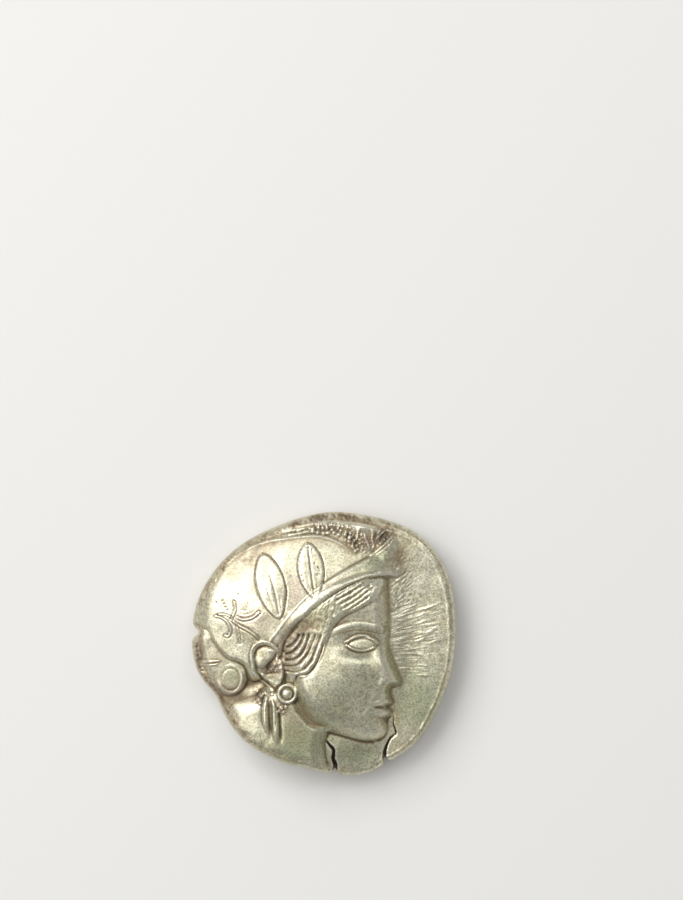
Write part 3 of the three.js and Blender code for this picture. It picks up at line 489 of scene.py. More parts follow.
def crest(x, y, z, field):
    """The crest along the top of the helmet, laid on the ground z: a thin border, rows of beads, fine lines
    behind them, and in front a sunk fan with upright stripes, closed by the visor's bright border."""
    bed = spline([(-9.0, 8.1), (-7, 9.7), (-4.4, 10.7), (-2, 11.1), (0.5, 11.2), (3, 11.0), (5, 10.5),
                  (6.35, 9.8), (5.5, 8.95),
                  (4.6, 8.2), (3.8, 7.7), (3.1, 7.9), (2.5, 8.4), (1.67, 9.0), (0.5, 9.5), (-0.67, 9.7),
                  (-2, 9.6),
                  (-3.2, 9.45), (-5, 9.15), (-6.4, 8.6), (-7.8, 7.8), (-8.7, 6.9)], True)
    d = soft_depth(x, y, bed, 1)
    up = wire(x, y, [(-9.1, 6.6), (-8.6, 7.2), (-7.7, 7.95), (-6.4, 8.7), (-5, 9.2), (-3.2, 9.47),
                     (-1.8, 9.62), (-0.67, 9.68),
                     (0.5, 9.45), (1.67, 8.92), (2.6, 8.15)], (0.07, 0.1, 0.12, 0.12, 0.12, 0.1), 0.08,
              (0.15, 0.1))
    for points, deep in (([(-8.0, 8.1), (-6.6, 8.95), (-5, 9.45), (-3.2, 9.68)], 0.07),
                         ([(-3.2, 9.68), (-1.8, 9.82), (-0.6, 9.88), (0.6, 9.68), (1.6, 9.25)], 0.06),
                         ([(-5.2, 9.7), (-3.9, 9.98), (-2.8, 10.05), (-1.6, 10.5), (-0.2, 10.78), (1.2, 10.8),
                           (2.2, 10.6)], 0.1),
                         ([(-4.6, 9.62), (-3.2, 9.92), (-2.2, 10.02), (-1.5, 10.2)], 0.08),
                         ([(-7.0, 9.3), (-5.6, 9.95), (-4.2, 10.4)], 0.07),
                         ([(-6.2, 9.35), (-5, 9.8), (-3.9, 10.2)], 0.06)):
        up = up - groove(x, y, points, 0.06, deep, (0.15, 0.1))
    for points in ([(-3.2, 9.82), (-2.5, 9.86), (-1.7, 10.05), (-1.15, 10.13)],
                   [(-3.0, 10.1), (-2.2, 10.25), (-1.5, 10.42)]):
        up = up + wire(x, y, points, (0.08, 0.12, 0.12), 0.12, (0.2, 0.1))
    rng = np.random.default_rng(71)
    rows = (([(-0.95, 10.12), (-0.3, 10.08), (0.5, 9.94), (1.3, 9.88), (1.9, 9.78), (2.25, 9.5)], 0.46, 0.19,
             0.2),
            ([(1.9, 9.35), (2.3, 9.1), (2.55, 8.7), (2.95, 8.25)], 0.36, 0.15, 0.14),
            ([(2.5, 9.6), (2.8, 9.1), (3.1, 8.5)], 0.38, 0.13, 0.12),
            ([(-1.3, 10.4), (-0.4, 10.46), (0.6, 10.33), (1.6, 10.2), (2.4, 9.95)], 0.41, 0.16, 0.18),
            ([(-0.9, 10.72), (0.2, 10.68), (1.3, 10.56), (2.5, 10.3)], 0.37, 0.13, 0.14),
            ([(3.35, 9.75), (3.3, 9.2), (3.5, 8.6), (3.75, 8.2)], 0.3, 0.12, 0.08),
            ([(4.75, 8.75), (5.2, 9.2), (5.75, 9.7)], 0.3, 0.12, 0.08),
            ([(4.75, 9.9), (4.95, 10.1), (5.1, 10.25)], 0.28, 0.12, 0.08))
    for points, pitch, r, high in rows:
        for bx, by in walk(spline(points, steps=20), pitch, 0.05):
            bx, by = (bx, by) + rng.uniform(-0.09, 0.09, 2)
            wide, tall = r * rng.uniform(0.75, 1.2, 2)
            up = up + cap(x, y, bx, by, wide, tall, 0, high)
    up = up - mound(x, y, 0.3, 10.35, 1.6, 0.42, -4, 0.07) - mound(x, y, 5.35, 9.45, 0.7, 0.5, 42, 0.1) \
        - mound(x, y, 3.5, 9.2, 0.8, 0.8, 0, 0.03) + mound(x, y, 3.7, 10.5, 0.8, 0.3, -12, 0.14)
    for points, half, high in (([(3.1, 10.5), (3.0, 9.85), (2.92, 9.45), (2.5, 8.95)],
                                (0.22, 0.15, 0.12, 0.08), 0.12),
                               ([(3.62, 9.95), (3.72, 9.4), (3.95, 8.95), (4.12, 8.4)],
                                (0.07, 0.1, 0.1, 0.08), 0.12),
                               ([(4.35, 10.5), (4.38, 9.95), (4.3, 9.4), (4.42, 8.9), (4.4, 8.4)],
                                (0.22, 0.13, 0.09, 0.08), 0.1),
                               ([(4.6, 9.35), (5.0, 9.75), (5.45, 10.15), (5.85, 10.1), (6.25, 9.9)],
                                (0.07, 0.09, 0.08, 0.07), 0.11),
                               ([(3.9, 7.85), (4.7, 8.3), (5.5, 9.0), (6.3, 9.82)], (0.09, 0.1, 0.08), 0.12)):
        up = up + wire(x, y, points, half, high, (0.15, 0.15))
    within = smooth(0, 0.5, d)
    base = soft_max(z, field + (0.62 + 0.12 * roll(d, 0.6)) * (1 - 0.7 * smooth(3.2, 6.4, x)), 0.15)
    return np.where(d > 0, z * (1 - within) + base * within, z) + up


def visor(x, y, z, size, field):
    """The upturned visor, laid on the ground z: a smooth band between two curves that starts level with the
    bowl at its upper edge, rises to its lower edge, falls away to the ground in front and ends in a point
    by the ear."""
    top = spline([(-5, 0.4), (-4.2, 1.4), (-3.4, 2.5), (-2.5, 3.6), (-1.5, 4.6), (-0.5, 5.3), (0.5, 5.9),
                  (2, 6.8),
                  (3.5, 7.6), (4.3, 8), (5.1, 8.5), (5.7, 9), (6.25, 9.7)])
    low = spline([(-4.0, -0.1), (-3.3, 1.0), (-2.5, 1.85), (-1.2, 2.95), (0.4, 4.15), (1.6, 4.9), (2.8, 5.5),
                  (3.8, 5.95),
                  (4.8, 6.2), (5.6, 6.2), (6.5, 6.05)])
    outline = np.vstack([top, [(7.0, 9.4), (7.4, 8.4), (7.5, 7.3), (7.3, 6.5)], low[::-1]])
    inside = depth_in(x, y, outline, 2) > 0
    upper, lower = nearest(x, y, top, 4)[0], nearest(x, y, low, 4)[0]
    share = upper / (upper + lower + 1e-6)
    share = share * (1.2 - 0.2 * share)
    fall = 0.09 * np.maximum(0, x + y - 5) + 0.06 * np.maximum(0, -x - y)
    rear = smooth(4, -1, x)
    rounded = 0.88 + 0.02 * rear + (0.12 - 0.02 * rear) * roll(lower, 0.7 - 0.2 * rear)
    crown = field + (size.visor_high - fall) * rounded + 0.09 * rear - 0.22 * smooth(-1.2, -4.0, x)
    crown = crown - mound(x, y, 1.9, 5.9, 5, 0.6, 32, 0.1)
    body = z * (1 - share) + crown * share + 0.06 * smooth(0, 0.1, upper)
    body = body + 0.05 * bell(upper - 0.16, 0.1) - 0.008 * ripple(x, y, 1.3, 41)
    front = smooth(4.0, 7.2, x + 0.12 * (y - 8))
    body = body * (1 - front) + z * front
    return np.where(inside, np.maximum(body, z * (1 - share)), z)


def ear(x, y, z, field):
    """The ear, laid on the ground z: a strap looped round a well that is sunk on its left, a shell with a low
    roof in it, the rough rim and a thin fold on its right, and the lobe, a slanting swell below."""
    loop = [(-3.95, -0.6), (-4.17, -0.12), (-4.62, 0.2), (-5.17, 0.33), (-5.75, 0.18), (-6.14, -0.22),
            (-6.3, -0.8),
            (-6.2, -1.5), (-6.1, -2.25), (-5.75, -2.75), (-5.2, -3.2), (-4.7, -3.6), (-4.3, -4.0)]
    middle, widened = np.array((-4.8, -1.8)), 1.12
    hole = np.array(loop + [(-3.4, -3.3), (-3.1, -2.3), (-3.3, -1.0), (-3.4, -0.2)])
    well = soft_depth(x, y, spline(middle + widened * (hole - middle), True), 1)
    right = smooth(-5.3, -3.9, x + 0.2 * (y + 1))
    z = np.where(well > 0, soft_max(z, field + (1.4 + 0.24 * right) * smooth(0, 0.55 + 0.2 * right, well),
                                    0.2), z)
    up = wire(x, y, loop, (0.14, 0.2, 0.22, 0.22, 0.2, 0.17, 0.12), 0.22, (0.06, 0.12))
    up = up - 0.15 * smooth(0, 0.35, well) * (1 - right)
    shell = spline([(-6.05, -0.9), (-5.75, -0.3), (-5.0, -0.05), (-4.3, -0.3), (-4.2, -0.8), (-4.7, -1.4),
                    (-5.2, -1.9),
                    (-5.75, -1.9), (-6.05, -1.4)], True)
    across = turned(x, y, -4.85, -0.8, 52)[1]
    up = up + swell(depth_in(x, y, shell, 1), 0.35) * (0.36 - 0.24 * np.sqrt(across**2 + 0.05))
    up = up - groove(x, y, [(-4.2, -0.55), (-4.3, -0.95), (-4.8, -1.5), (-5.2, -1.95)], 0.1, 0.16, (0.1, 0.2))
    up = up - groove(x, y, [(-5.5, -2.3), (-5.0, -2.42), (-4.2, -2.35), (-3.5, -2.6)], 0.08, 0.12, (0.2, 0.5))
    up = up - groove(x, y, [(-4.5, -1.2), (-4.75, -1.8), (-5.1, -2.1)], 0.06, 0.08, (0.3, 0.3))
    up = up + mound(x, y, -4.05, -2.75, 1.0, 0.26, -13, 0.04) + mound(x, y, -5.3, -2.5, 0.2, 0.14, 20, 0.1) \
        + mound(x, y, -3.55, -1.5, 0.26, 1.5, 7, 0.24)
    up = up + wire(x, y, [(-4.02, -0.5), (-4.08, -1.15), (-4.4, -1.8), (-4.85, -2.2)], (0.1, 0.14, 0.1), 0.08,
                   (0.3, 0.3))
    for px, py, r in ((-4.65, -2.05, 0.2), (-4.25, -2.15, 0.17), (-4.45, -1.65, 0.16), (-3.85, -1.95, 0.18),
                      (-3.95, -1.5, 0.14)):
        up = up + mound(x, y, px, py, r, 0.75 * r, 40, 0.09)
    return z + up * (1 + 0.1 * ripple(x, y, 0.8, 53))


CREST_TAIL = [(-11.25, 0.6), (-11.2, -0.8), (-10.95, -2), (-10.4, -3.1), (-9.9, -3.9)]


def neck_guard(x, y):
    """The guard's two-strand stub and lower edge, and the crest's pitted tail along the flan's left edge."""
    up = wire(x, y, [(-9.0, -1.3), (-9.8, -1.36), (-10.8, -1.46)], (0.08, 0.14, 0.17), 0.17, (0.1, 0.05))
    up = up + wire(x, y, [(-9.2, -1.6), (-10.0, -1.72), (-10.8, -1.74)], (0.06, 0.1, 0.1), 0.1, (0.2, 0.05))
    up = up + wire(x, y, [(-10.35, -2.2), (-9.8, -3.15), (-9.1, -4.2), (-8.5, -5.2)], (0.09, 0.1, 0.08), 0.09,
                   (0.2, 0.2))
    up = up + wire(x, y, CREST_TAIL, (0.24, 0.3, 0.32, 0.3, 0.2), 0.26, (0.1, 0.15))
    return up - 0.14 * tail_pits(x, y)


def tail_pits(x, y):
    """Small pits scattered along the crest's tail, 1 at their middles."""
    rng = np.random.default_rng(72)
    pits = np.zeros(np.shape(x))
    for bx, by in walk(spline(CREST_TAIL), 0.31, 0.3):
        bx, by = (bx, by) + rng.uniform(-0.12, 0.14, 2)
        pits = pits + mound(x, y, bx, by, *rng.uniform(0.08, 0.17, 2), 70, 1)
    return pits


def flow_lines(x, y, edge):
    """Metal drawn outwards at the strike: streaks five times as long as they are wide that fan across the
    right-hand field, a few clear folds, and a rough patch in front of the visor."""
    r, across = np.hypot(x + 7, y + 2), 16 * np.arctan2(y + 2, x + 7)
    zone = (smooth(12.8, 14.4, r) * smooth(-1.2, 1.0, across) * (1 - smooth(5.0, 7.0, across))
            * smooth(0.7, 1.2, edge))
    bend = across + 0.05 * ripple(x, y, 1.6, 15)
    streaks = ripple(r * 0.11, bend, 0.27, 11, 40) + 0.7 * ripple(r * 0.25, bend, 0.7, 12, 24)
    near = 0.45 + 0.55 * smooth(10.6, 8.6, x)
    up = ((0.06 + zone) * near * clamp(0.028 + 0.02 * ripple(x, y, 2, 13), 0.004, 0.06)
          * streaks * smooth(0.6, 1, edge))
    for points, half, high in (
            ([(7.7, 0.9), (8.4, 1.15), (9.0, 1.0), (9.5, 1.25), (10, 1.55), (10.6, 1.7)], (0.12, 0.18, 0.14),
             0.055),
            ([(9.3, 0.2), (10.0, 0.4), (10.6, 0.35)], 0.1, 0.04),
            ([(8.2, -2.62), (9.4, -2.68)], 0.09, 0.08), ([(7.6, -0.7), (9.0, -0.9)], 0.1, 0.06),
            ([(7.7, 3.0), (8.9, 3.2), (9.8, 3.5)], 0.11, 0.06), ([(8.0, -1.7), (9.4, -1.85)], 0.1, 0.05),
            ([(6.4, 6.4), (7.0, 7.1)], 0.13, 0.06), ([(6.3, 5.6), (7.2, 6.1)], 0.12, 0.07)):
        up = up + wire(x, y, points, half, high, (0.35, 0.35))
    rough = bell(np.hypot(x - 6.9, (y - 6) * 0.6), 1.3)
    return up + rough * 0.022 * ripple(0.3 * (x + y), y - x, 0.42, 14, 24)


def scratches(x, y, seed, count, reach):
    """Fine nicks at random places: short straight grooves."""
    rng = np.random.default_rng(seed)
    cut = np.zeros(np.shape(x))
    least, most = (-reach, -reach, 0, 0.25, 0.008), (reach, reach, np.pi, 1.3, 0.022)
    for cx, cy, angle, long, deep in rng.uniform(least, most, (count, 5)):
        step = np.array((np.cos(angle), np.sin(angle))) * long / 2
        middle = np.array((cx, cy))
        cut = cut + wire(x, y, [middle - step, middle + step], 0.1, deep, (0.3, 0.3), 1)
    return cut


BUTTONS = (  # place, half-widths, ground, ring's radius, half-width and height, middle's and its height, lean
    (-3.2, -4.15, 1, 1, 1.55, 0.76, 0.17, 0.22, 0.46, 0.34, 0.15),
    (-8.2, -2.95, 1.08, 1.25, 0.72, 0.95, 0.13, 0.12, 0.85, 0.05, 0.48))
DOME_REACH = 11.6      # where the field's dome has fallen to nothing
EDGE_DROP = 0.75       # how far the rounded edge falls on the upper face, and on the lower
EDGE_RISE = 0.7


def obverse(x, y, size):
    """The upper face: a domed field, a broad swell under the head, each form laid over the last, and the
    edge, which on the right ends in a thin uneven ridge and elsewhere is lumpy."""
    r, angle = np.hypot(x, y), np.arctan2(y, x)
    edge = rim(angle, size) - r
    right = smooth(-0.3, 0.6, np.cos(angle - 0.2))
    field = (size.field_high + size.field_dome * (1 - (r / DOME_REACH) ** 2)
             + 0.2 * right * smooth(4.5, 0.8, edge))
    ground = spline([(8.2, 7), (8.4, 0), (7, -8), (2.5, -11.5), (-3, -12.5), (-8.5, -10.2), (-10.6, -5.6),
                     (-12, -1),
                     (-12, 3.4), (-9.6, 8.6), (-4.5, 11.3), (1, 12), (6, 11)], True)
    z = field + size.head_swell * smooth(0, 3.2, soft_depth(x, y, ground, 4)) + flow_lines(x, y, edge)
    z = face(x, y, z, neck(x, y, size, field), size, field) + hair(x, y)
    z = soft_max(z, guard_plate(x, y, field), 0.1)
    z = soft_max(z, bowl(x, y, size, field), 0.08) + ornament(x, y)
    z = crest(x, y, z, field)
    z = ear(x, y, visor(x, y, z, size, field), field)
    z = z - mound(x, y, -6.3, -3.45, 0.7, 0.4, 10, 0.25)
    for cx, cy, a, b, base, ring, half, hoop, middle, boss, lean in BUTTONS:
        up, lies = button(x, y, cx, cy, a, b, ring, half, hoop, middle, boss, lean)
        z = z * (1 - lies) + np.maximum(z, field + base) * lies + up
    z = z + neck_guard(x, y) - cracks(x, y)
    z = z + 0.016 * ripple(x, y, 2.6, 21) + 0.003 * ripple(x, y, 0.9, 22)
    at = 0.8 - 0.35 * smooth(1.1, -0.6, angle) + 0.04 * ripple(x, y, 1.8, 28)
    ends = smooth(-1.3, -1.0, angle) * (1 - smooth(1.6, 1.95, angle))
    z = z + 0.07 * ends * bell(edge - at, 0.14) * (0.9 + 0.15 * ripple(x, y, 1.6, 29))
    lumpy = bell(edge - 0.5, 0.5) * (1 - 0.85 * right)
    z = z + lumpy * (0.022 * ripple(x, y, 1.2, 26) + 0.008 * ripple(x, y, 0.6, 27, 30))
    z = z - (0.3 - 0.18 * right) * (1 - roll(edge, 1.4 - 0.6 * right))
    return z - EDGE_DROP * (1 - swell(edge, rounding(angle, size)))


# ---------------------------------------------------------------- reverse: the owl in its square


def owl(x, y, size):
    """Tail, body, wing with feathers, dotted breast, round head with ringed eyes, beak, legs and claws."""
    tail = spline([(-1, -2.2), (-2.2, -3.4), (-3.5, -4.9), (-4.3, -6.3), (-3.3, -6.6), (-2, -5.6),
                   (-0.6, -4.2)], True)
    body = spline([(-2.2, 2.2), (-3, 0.4), (-3.1, -1.6), (-2.2, -3.4), (-0.5, -4.4), (1.2, -4.2), (2.5, -2.8),
                   (3, -0.8), (2.7, 1.2), (1.8, 2.6), (-0.3, 3)], True)
    wing = spline([(-2.4, 1.9), (-2.9, 0.2), (-3.1, -1.8), (-3.3, -3.6), (-2, -3.5), (-0.6, -2.2),
                   (0.2, -0.4),
                   (0.3, 1), (-0.8, 2.1)], True)
    up = 0.45 * swell(depth_in(x, y, tail, 1), 0.6)
    up = soft_max(up, size.owl_high * swell(depth_in(x, y, body, 2), 1.5), 0.05)
    up = up + 0.1 * swell(depth_in(x, y, wing, 1), 0.3)
    for k in range(5):
        up = up - wire(x, y, [(-2.35 + 0.52 * k, 0.4 + 0.12 * k), (-2.75 + 0.5 * k, -1.3 + 0.15 * k),
                              (-2.95 + 0.42 * k, -3 + 0.25 * k)], 0.13, 0.1, (0.1, 0.1))
    for k in range(3):
        shaft = [(-0.9 - 0.35 * k, -3.6 - 0.2 * k), (-3.9 + 0.45 * k, -6.2 - 0.05 * k)]
        up = up - wire(x, y, shaft, 0.1, 0.08, (0.1, 0.1), 1)
    for row in range(6):
        for col in range(3):
            up = up + cap(x, y, 0.95 + 0.55 * col - 0.06 * row, 1.6 - 0.85 * row - 0.25 * col, 0.2, 0.26, 20,
                          0.08, 0.6)
    up = soft_max(up, cap(x, y, -0.25, 3.75, 2.95, 2.35, 0, 1.25 * size.owl_high, 0.4), 0.06)
    up = up + wire(x, y, [(-0.25, 4.6), (-0.25, 3.6), (-0.3, 2.75)], (0.12, 0.22, 0.1), 0.18, (0.1, 0.1))
    for eye in (-1.47, 0.97):
        r = np.hypot(x - eye, y - 3.95)
        up = np.where(r < 1.05, np.maximum(up - 0.18 * smooth(1.05, 0.85, r), 0.2), up)
        up = up + 0.14 * dome((r - 0.82) / 0.16) + 0.2 * dome(r / 0.42)
    for lx in (0.25, 1.55):
        up = np.maximum(up, wire(x, y, [(lx, -3.8), (lx + 0.1, -5), (lx + 0.25, -6)], (0.42, 0.3, 0.3), 0.5))
        for toe in (-0.35, 0.25, 0.85):
            up = np.maximum(up, wire(x, y, [(lx + 0.2, -5.85), (lx + toe, -6.45)], (0.2, 0.14), 0.4, (0, 0.1),
                                     1))
    return up


def signs(x, y):
    """Olive spray with its berry, a crescent, and three rows of plain strokes that aren't letters."""
    up = np.maximum(leaf(x, y, (-6, 5.6), (-3.5, 6.6), 0.52, 0.38),
                    leaf(x, y, (-5.9, 5.5), (-5.9, 2.7), 0.52, 0.38))
    up = np.maximum(up, leaf(x, y, (-5.7, 5.4), (-4, 4.3), 0.52, 0.38))
    up = np.maximum(up, wire(x, y, [(-6.9, 6.6), (-5.9, 5.6)], 0.17, 0.32, (0.1, 0), 1))
    up = np.maximum(up, cap(x, y, -3.75, 5.35, 0.45, 0.45, 0, 0.42))
    t = np.radians(np.linspace(150, 360, 14))
    moon = np.column_stack([-4.35 + 0.8 * np.cos(t), 2.2 + 0.8 * np.sin(t)])
    up = np.maximum(up, wire(x, y, moon, (0.08, 0.24, 0.08), 0.34, steps=1))
    for row in (4.3, 0.6, -3.1):
        for k in range(4):
            stroke = [(4.1 + 0.55 * k, row + 0.8), (3.95 + 0.55 * k, row - 0.8)]
            up = np.maximum(up, wire(x, y, stroke, 0.16, 0.26, (0.1, 0.1), 1))
    return up


def reverse(x, y, size):
    """The lower face, seen from below: height above the rest plane, 0 on the border it lies on, and deeper
    in the sunken square, whose floor the relief fills back."""
    r, half = np.hypot(x, y), size.square_half
    u, v = turned(x, y, 0, 0.1, size.square_turn)
    qx, qy = np.abs(u) - (half - 1), np.abs(v) - (half - 1)
    inside = 1 - np.hypot(np.maximum(qx, 0), np.maximum(qy, 0)) - np.minimum(np.maximum(qx, qy), 0)
    floor = (size.square_deep - 0.18 * bell(r, 5.5)) * smooth(0, 0.55, inside)
    up = np.maximum(owl(u, v, size), signs(u, v)) * smooth(0.2, 0.8, inside)
    z = np.maximum(floor - up, 0.02 * smooth(0, 0.5, inside))
    wear = 0.012 * ripple(x, y, 0.8, 31) + 0.02 * ripple(x, y, 2.5, 32)
    border_wear = 0.012 * (1 - smooth(0.0, 0.4, inside)) * np.maximum(0, ripple(x, y, 1.1, 33))
    z = z + (wear + scratches(x, y, 7, 40, 9)) * smooth(0.3, 0.9, inside) + border_wear
    at = np.arctan2(y, -x)
    edge = rim(at, size) - r
    return z + 0.3 * (1 - roll(edge, 1.6)) + EDGE_RISE * (1 - swell(edge, rounding(at, size)))


# ---------------------------------------------------------------- the closed surface


def square_disc(n):
    """An n by n grid of the square from -1 to 1 pulled into the unit disc (Shirley and Chiu's map): the
    larger coordinate gives the radius, and the ratio of the two gives the angle within its quadrant."""
    a, b = np.meshgrid(np.linspace(-1, 1, n + 1), np.linspace(-1, 1, n + 1))
    wide = np.abs(a) >= np.abs(b)
    r = np.where(wide, a, b)
    safe = np.where(r == 0, 1, r)
    angle = np.where(wide, np.pi / 4 * b / safe, np.pi / 2 - np.pi / 4 * a / safe)
    return r * np.cos(angle), r * np.sin(angle)


def grid_border(n):
    """Indices of the grid's border, anticlockwise from the corner at (-1, -1)."""
    k, m = np.arange(n), n + 1
    return np.concatenate([k, n + k * m, n * m + n - k, (n - k) * m])


def grid_faces(n):
    """Two triangles for each cell of the grid, split along the line that points to the middle."""
    row, col = (side.ravel() for side in np.mgrid[:n, :n])
    k = row * (n + 1) + col
    a, b, c, d = k, k + 1, k + n + 2, k + n + 1
    turn = ((2 * row < n) != (2 * col < n))[:, None]
    return np.vstack([np.where(turn, np.column_stack([a, b, d]), np.column_stack([a, b, c])),
                      np.where(turn, np.column_stack([b, c, d]), np.column_stack([a, c, d]))])


def ring_faces(inner, outer):
    """Triangles between two rings, which may differ in count: each edge joins the other ring's point nearest
    its middle, and where two are as near, the outer ring's edges go first."""
    n, m = len(inner), len(outer)
    i, j = np.arange(n), np.arange(m)
    to_outer = ((2 * i + 1) * m + n) // (2 * n) % m
    to_inner = -((m - (2 * j + 1) * n) // (2 * m)) % n
    return np.vstack([np.column_stack([inner[i], outer[to_outer], inner[(i + 1) % n]]),
                      np.column_stack([inner[to_inner], outer[j], outer[(j + 1) % m]])])


def struck_face(cells, rows, height, size):
    """One face with its half of the rounded edge: a square grid pulled into the flan's outline less the
    rounding, then rows of points out to the outline, at quarter-circle spacing. The outline's narrow nicks
    bend the grid near the edge only, by (share of the radius)^8."""
    p, q = square_disc(cells)
    angle, reach = np.arctan2(q, p).ravel(), np.hypot(p, q).ravel()
    radius = reach * (rim(angle, size, reach**8) - rounding(angle, size))
    border = grid_border(cells)
    at = angle[border]
    rings = [rim(at, size) - rounding(at, size) * (1 - np.sin(t))
             for t in np.linspace(0, np.pi / 2, rows + 1)[1:]]
    x = np.concatenate([radius * np.cos(angle)] + [r * np.cos(at) for r in rings])
    y = np.concatenate([radius * np.sin(angle)] + [r * np.sin(at) for r in rings])
    z = height(x, y)
    start = (cells + 1) ** 2
    loops = [border] + [start + k * len(border) + np.arange(len(border)) for k in range(rows)]
    return np.column_stack([x, y, z]), loops


UPPER_EDGE_ROWS, LOWER_EDGE_ROWS = 8, 5


def strike_mesh(size):
    """Upper face, edge and lower face as one closed set of points and triangles, centred on the CAD solid;
    and how many of the points are the upper face's."""
    top, top_loops = struck_face(size.upper_cells, UPPER_EDGE_ROWS, lambda x, y: obverse(x, y, size), size)
    low, low_loops = struck_face(size.lower_cells, LOWER_EDGE_ROWS, lambda x, y: reverse(-x, y, size), size)
    low_loops = [loop + len(top) for loop in low_loops]
    faces = [grid_faces(size.upper_cells)]
    faces += [ring_faces(a, b) for a, b in zip(top_loops, top_loops[1:])]
    faces += [ring_faces(top_loops[-1], low_loops[-1])]
    faces += [ring_faces(b, a) for a, b in zip(low_loops, low_loops[1:])]
    faces += [grid_faces(size.lower_cells)[:, ::-1] + len(top)]
    points = np.vstack([top, low])
    middle = (points[:, :2].max(0) + points[:, :2].min(0)) / 2
    points[:, :2] += np.array(CAD_MIDDLE[:2]) - middle
    return points, np.vstack(faces), len(top)


# ---------------------------------------------------------------- toning, dirt and painted shade, by place


def blur(grid, reach):
    """Gaussian mean of a square grid's neighbours, reach cells wide, along one side and then the other."""
    taps = np.arange(-2 * reach, 2 * reach + 1)
    weights = np.exp(-0.5 * (taps / reach) ** 2)
    weights /= weights.sum()
    for axis in (0, 1):
        padded = np.pad(grid, [(2 * reach, 2 * reach) if k == axis else (0, 0) for k in (0, 1)], mode="edge")
        count = grid.shape[axis]
        grid = sum(w * np.take(padded, np.arange(count) + k, axis) for k, w in enumerate(weights))
    return grid


NEAR_CELLS, WIDE_CELLS = 2, 10    # reach of the means that tell hollows from heights


def hollows(z, cells):
    """How far each point of a face's grid lies below (first) and above (second) the mean of its surroundings,
    0 to 1. A steep wall doesn't count as a hollow."""
    grid = z[:(cells + 1) ** 2].reshape(cells + 1, cells + 1)
    near, wide = blur(grid, NEAR_CELLS) - grid, blur(grid, WIDE_CELLS) - grid
    low, high = np.zeros(len(z)), np.zeros(len(z))
    filled, too_steep = 1.2 * np.tanh(np.maximum(near, 0) / 0.045), 3 * np.maximum(near - 0.08, 0)
    low[:grid.size] = clamp(filled - 0.08 + 0.2 * wide - too_steep).ravel()
    high[:grid.size] = clamp(-near / 0.07 * 0.7 - wide / 0.4 * 0.3).ravel()
    return low, high


# Patches of toning, some of them painted shade: place, half-widths, tilt and strength
GREEN_PATCHES = (
    (1.6, -4.6, 3.4, 2.6, 0, 0.4), (-1.8, -8.5, 3, 2.4, 0, 1.0), (0, 3.2, 2.6, 1.2, 30, 0.2),
    (4.4, 7.2, 2.2, 1.0, 40, 0.65),
    (4, -0.5, 2, 3, 0, 0.3), (8.4, -5, 2, 3, 0, 0.9), (3, -9.6, 2, 1.2, 0, 0.8), (2, 4, 3, 1, 30, 0.4),
    (-1.0, 2.0, 1.9, 0.8, 32, 0.5), (-5.8, -2.0, 1.2, 1.2, 0, 0.4), (-8.1, -2.9, 0.8, 0.8, 0, 0.8),
    # painted shade: the patch at (-4.0, -2.75) on the ear's lobe dulls the highlight on its lit slope
    (-4.0, -2.8, 1.0, 0.3, -13, 0.7), (-3.0, -7.8, 1.2, 1.8, 0, 0.4))
# The brown patches are partly dirt and toning and partly painted shade. On the bowl's upper left along the
# border, on the neck's upper left, on the guard plate and the strip left of it, and on the ear's lobe, they
# dull the key light's highlight. In the recess right of the guard disc and in the ear's well, they darken
# where shade falls.
BROWN_AND_SHADE_PATCHES = (
    (-3.6, -0.4, 1.4, 1.4, 0, 0.3), (5.0, 9.5, 0.9, 0.7, 40, 1.4), (3.9, 9.3, 0.5, 0.6, 0, 0.4),
    (0.4, 10.4, 2.2, 0.4, -4, 0.8),
    (5, 3.2, 0.9, 0.6, 0, 0.4), (-8.4, -4.2, 1.5, 0.6, -20, 0.7), (-6.2, -3.5, 0.9, 0.5, 0, 0.8),
    (-9.6, -4.9, 0.8, 1.3, 30, 0.8),
    (6.7, 7.9, 0.6, 1.6, -20, 0.8), (-4.4, -2.2, 0.8, 0.8, 0, 0.25), (1.2, -11.2, 0.8, 0.5, 0, 0.6),
    (-5.5, -1.3, 0.6, 0.9, 0, 0.3), (-8.3, -3.2, 0.9, 0.9, 0, 0.3), (-3.3, -7.6, 1.3, 1.7, 0, 0.35),
    (-8.5, 6.2, 2.1, 1.2, 50, 0.5), (-6.4, 8.0, 2.0, 1.0, 32, 0.65), (-3.9, 9.1, 2.0, 0.6, 8, 0.65),
    (-0.2, 9.2, 2, 0.5, -4, 0.5),
    (-5.6, 7.0, 1.5, 1.0, 20, 0.3), (1.9, 8.8, 0.9, 0.6, -30, 0.4), (-7.9, -4.6, 1.0, 0.7, 0, 0.7),
    (-11.1, -0.8, 0.4, 2.2, -10, 0.6), (-3, -10.8, 1.2, 0.6, -15, 0.5), (6, -8.9, 0.8, 0.8, 0, 0.5),
    (-6.2, -4.6, 0.9, 0.4, 10, 0.3), (-2.0, -0.1, 1.7, 2.0, 15, 0.8), (-1.4, 1.9, 1.9, 0.8, 32, 0.7),
    (-1.2, -7.7, 1.4, 1.5, 0, 0.4),
    (-9.8, -1.8, 1.1, 2.6, -15, 0.45), (-8.5, -6.2, 0.7, 1.4, 30, 0.4), (-7.4, -6.6, 1.2, 1.6, 0, 0.3),
    (-10.6, -0.5, 0.5, 1.3, -10, 0.5), (-0.6, 11.3, 1.0, 0.2, 3, 0.8), (3.1, 11.0, 1.1, 0.2, -14, 0.8),
    (1.4, 11.5, 1.2, 0.15, -4, 0.5), (-4.6, -2.1, 0.8, 0.4, -10, 0.4), (-4.0, -2.75, 1.0, 0.3, -13, 0.4),
    (-4.5, -9.6, 2.2, 1.0, -20, 0.25))
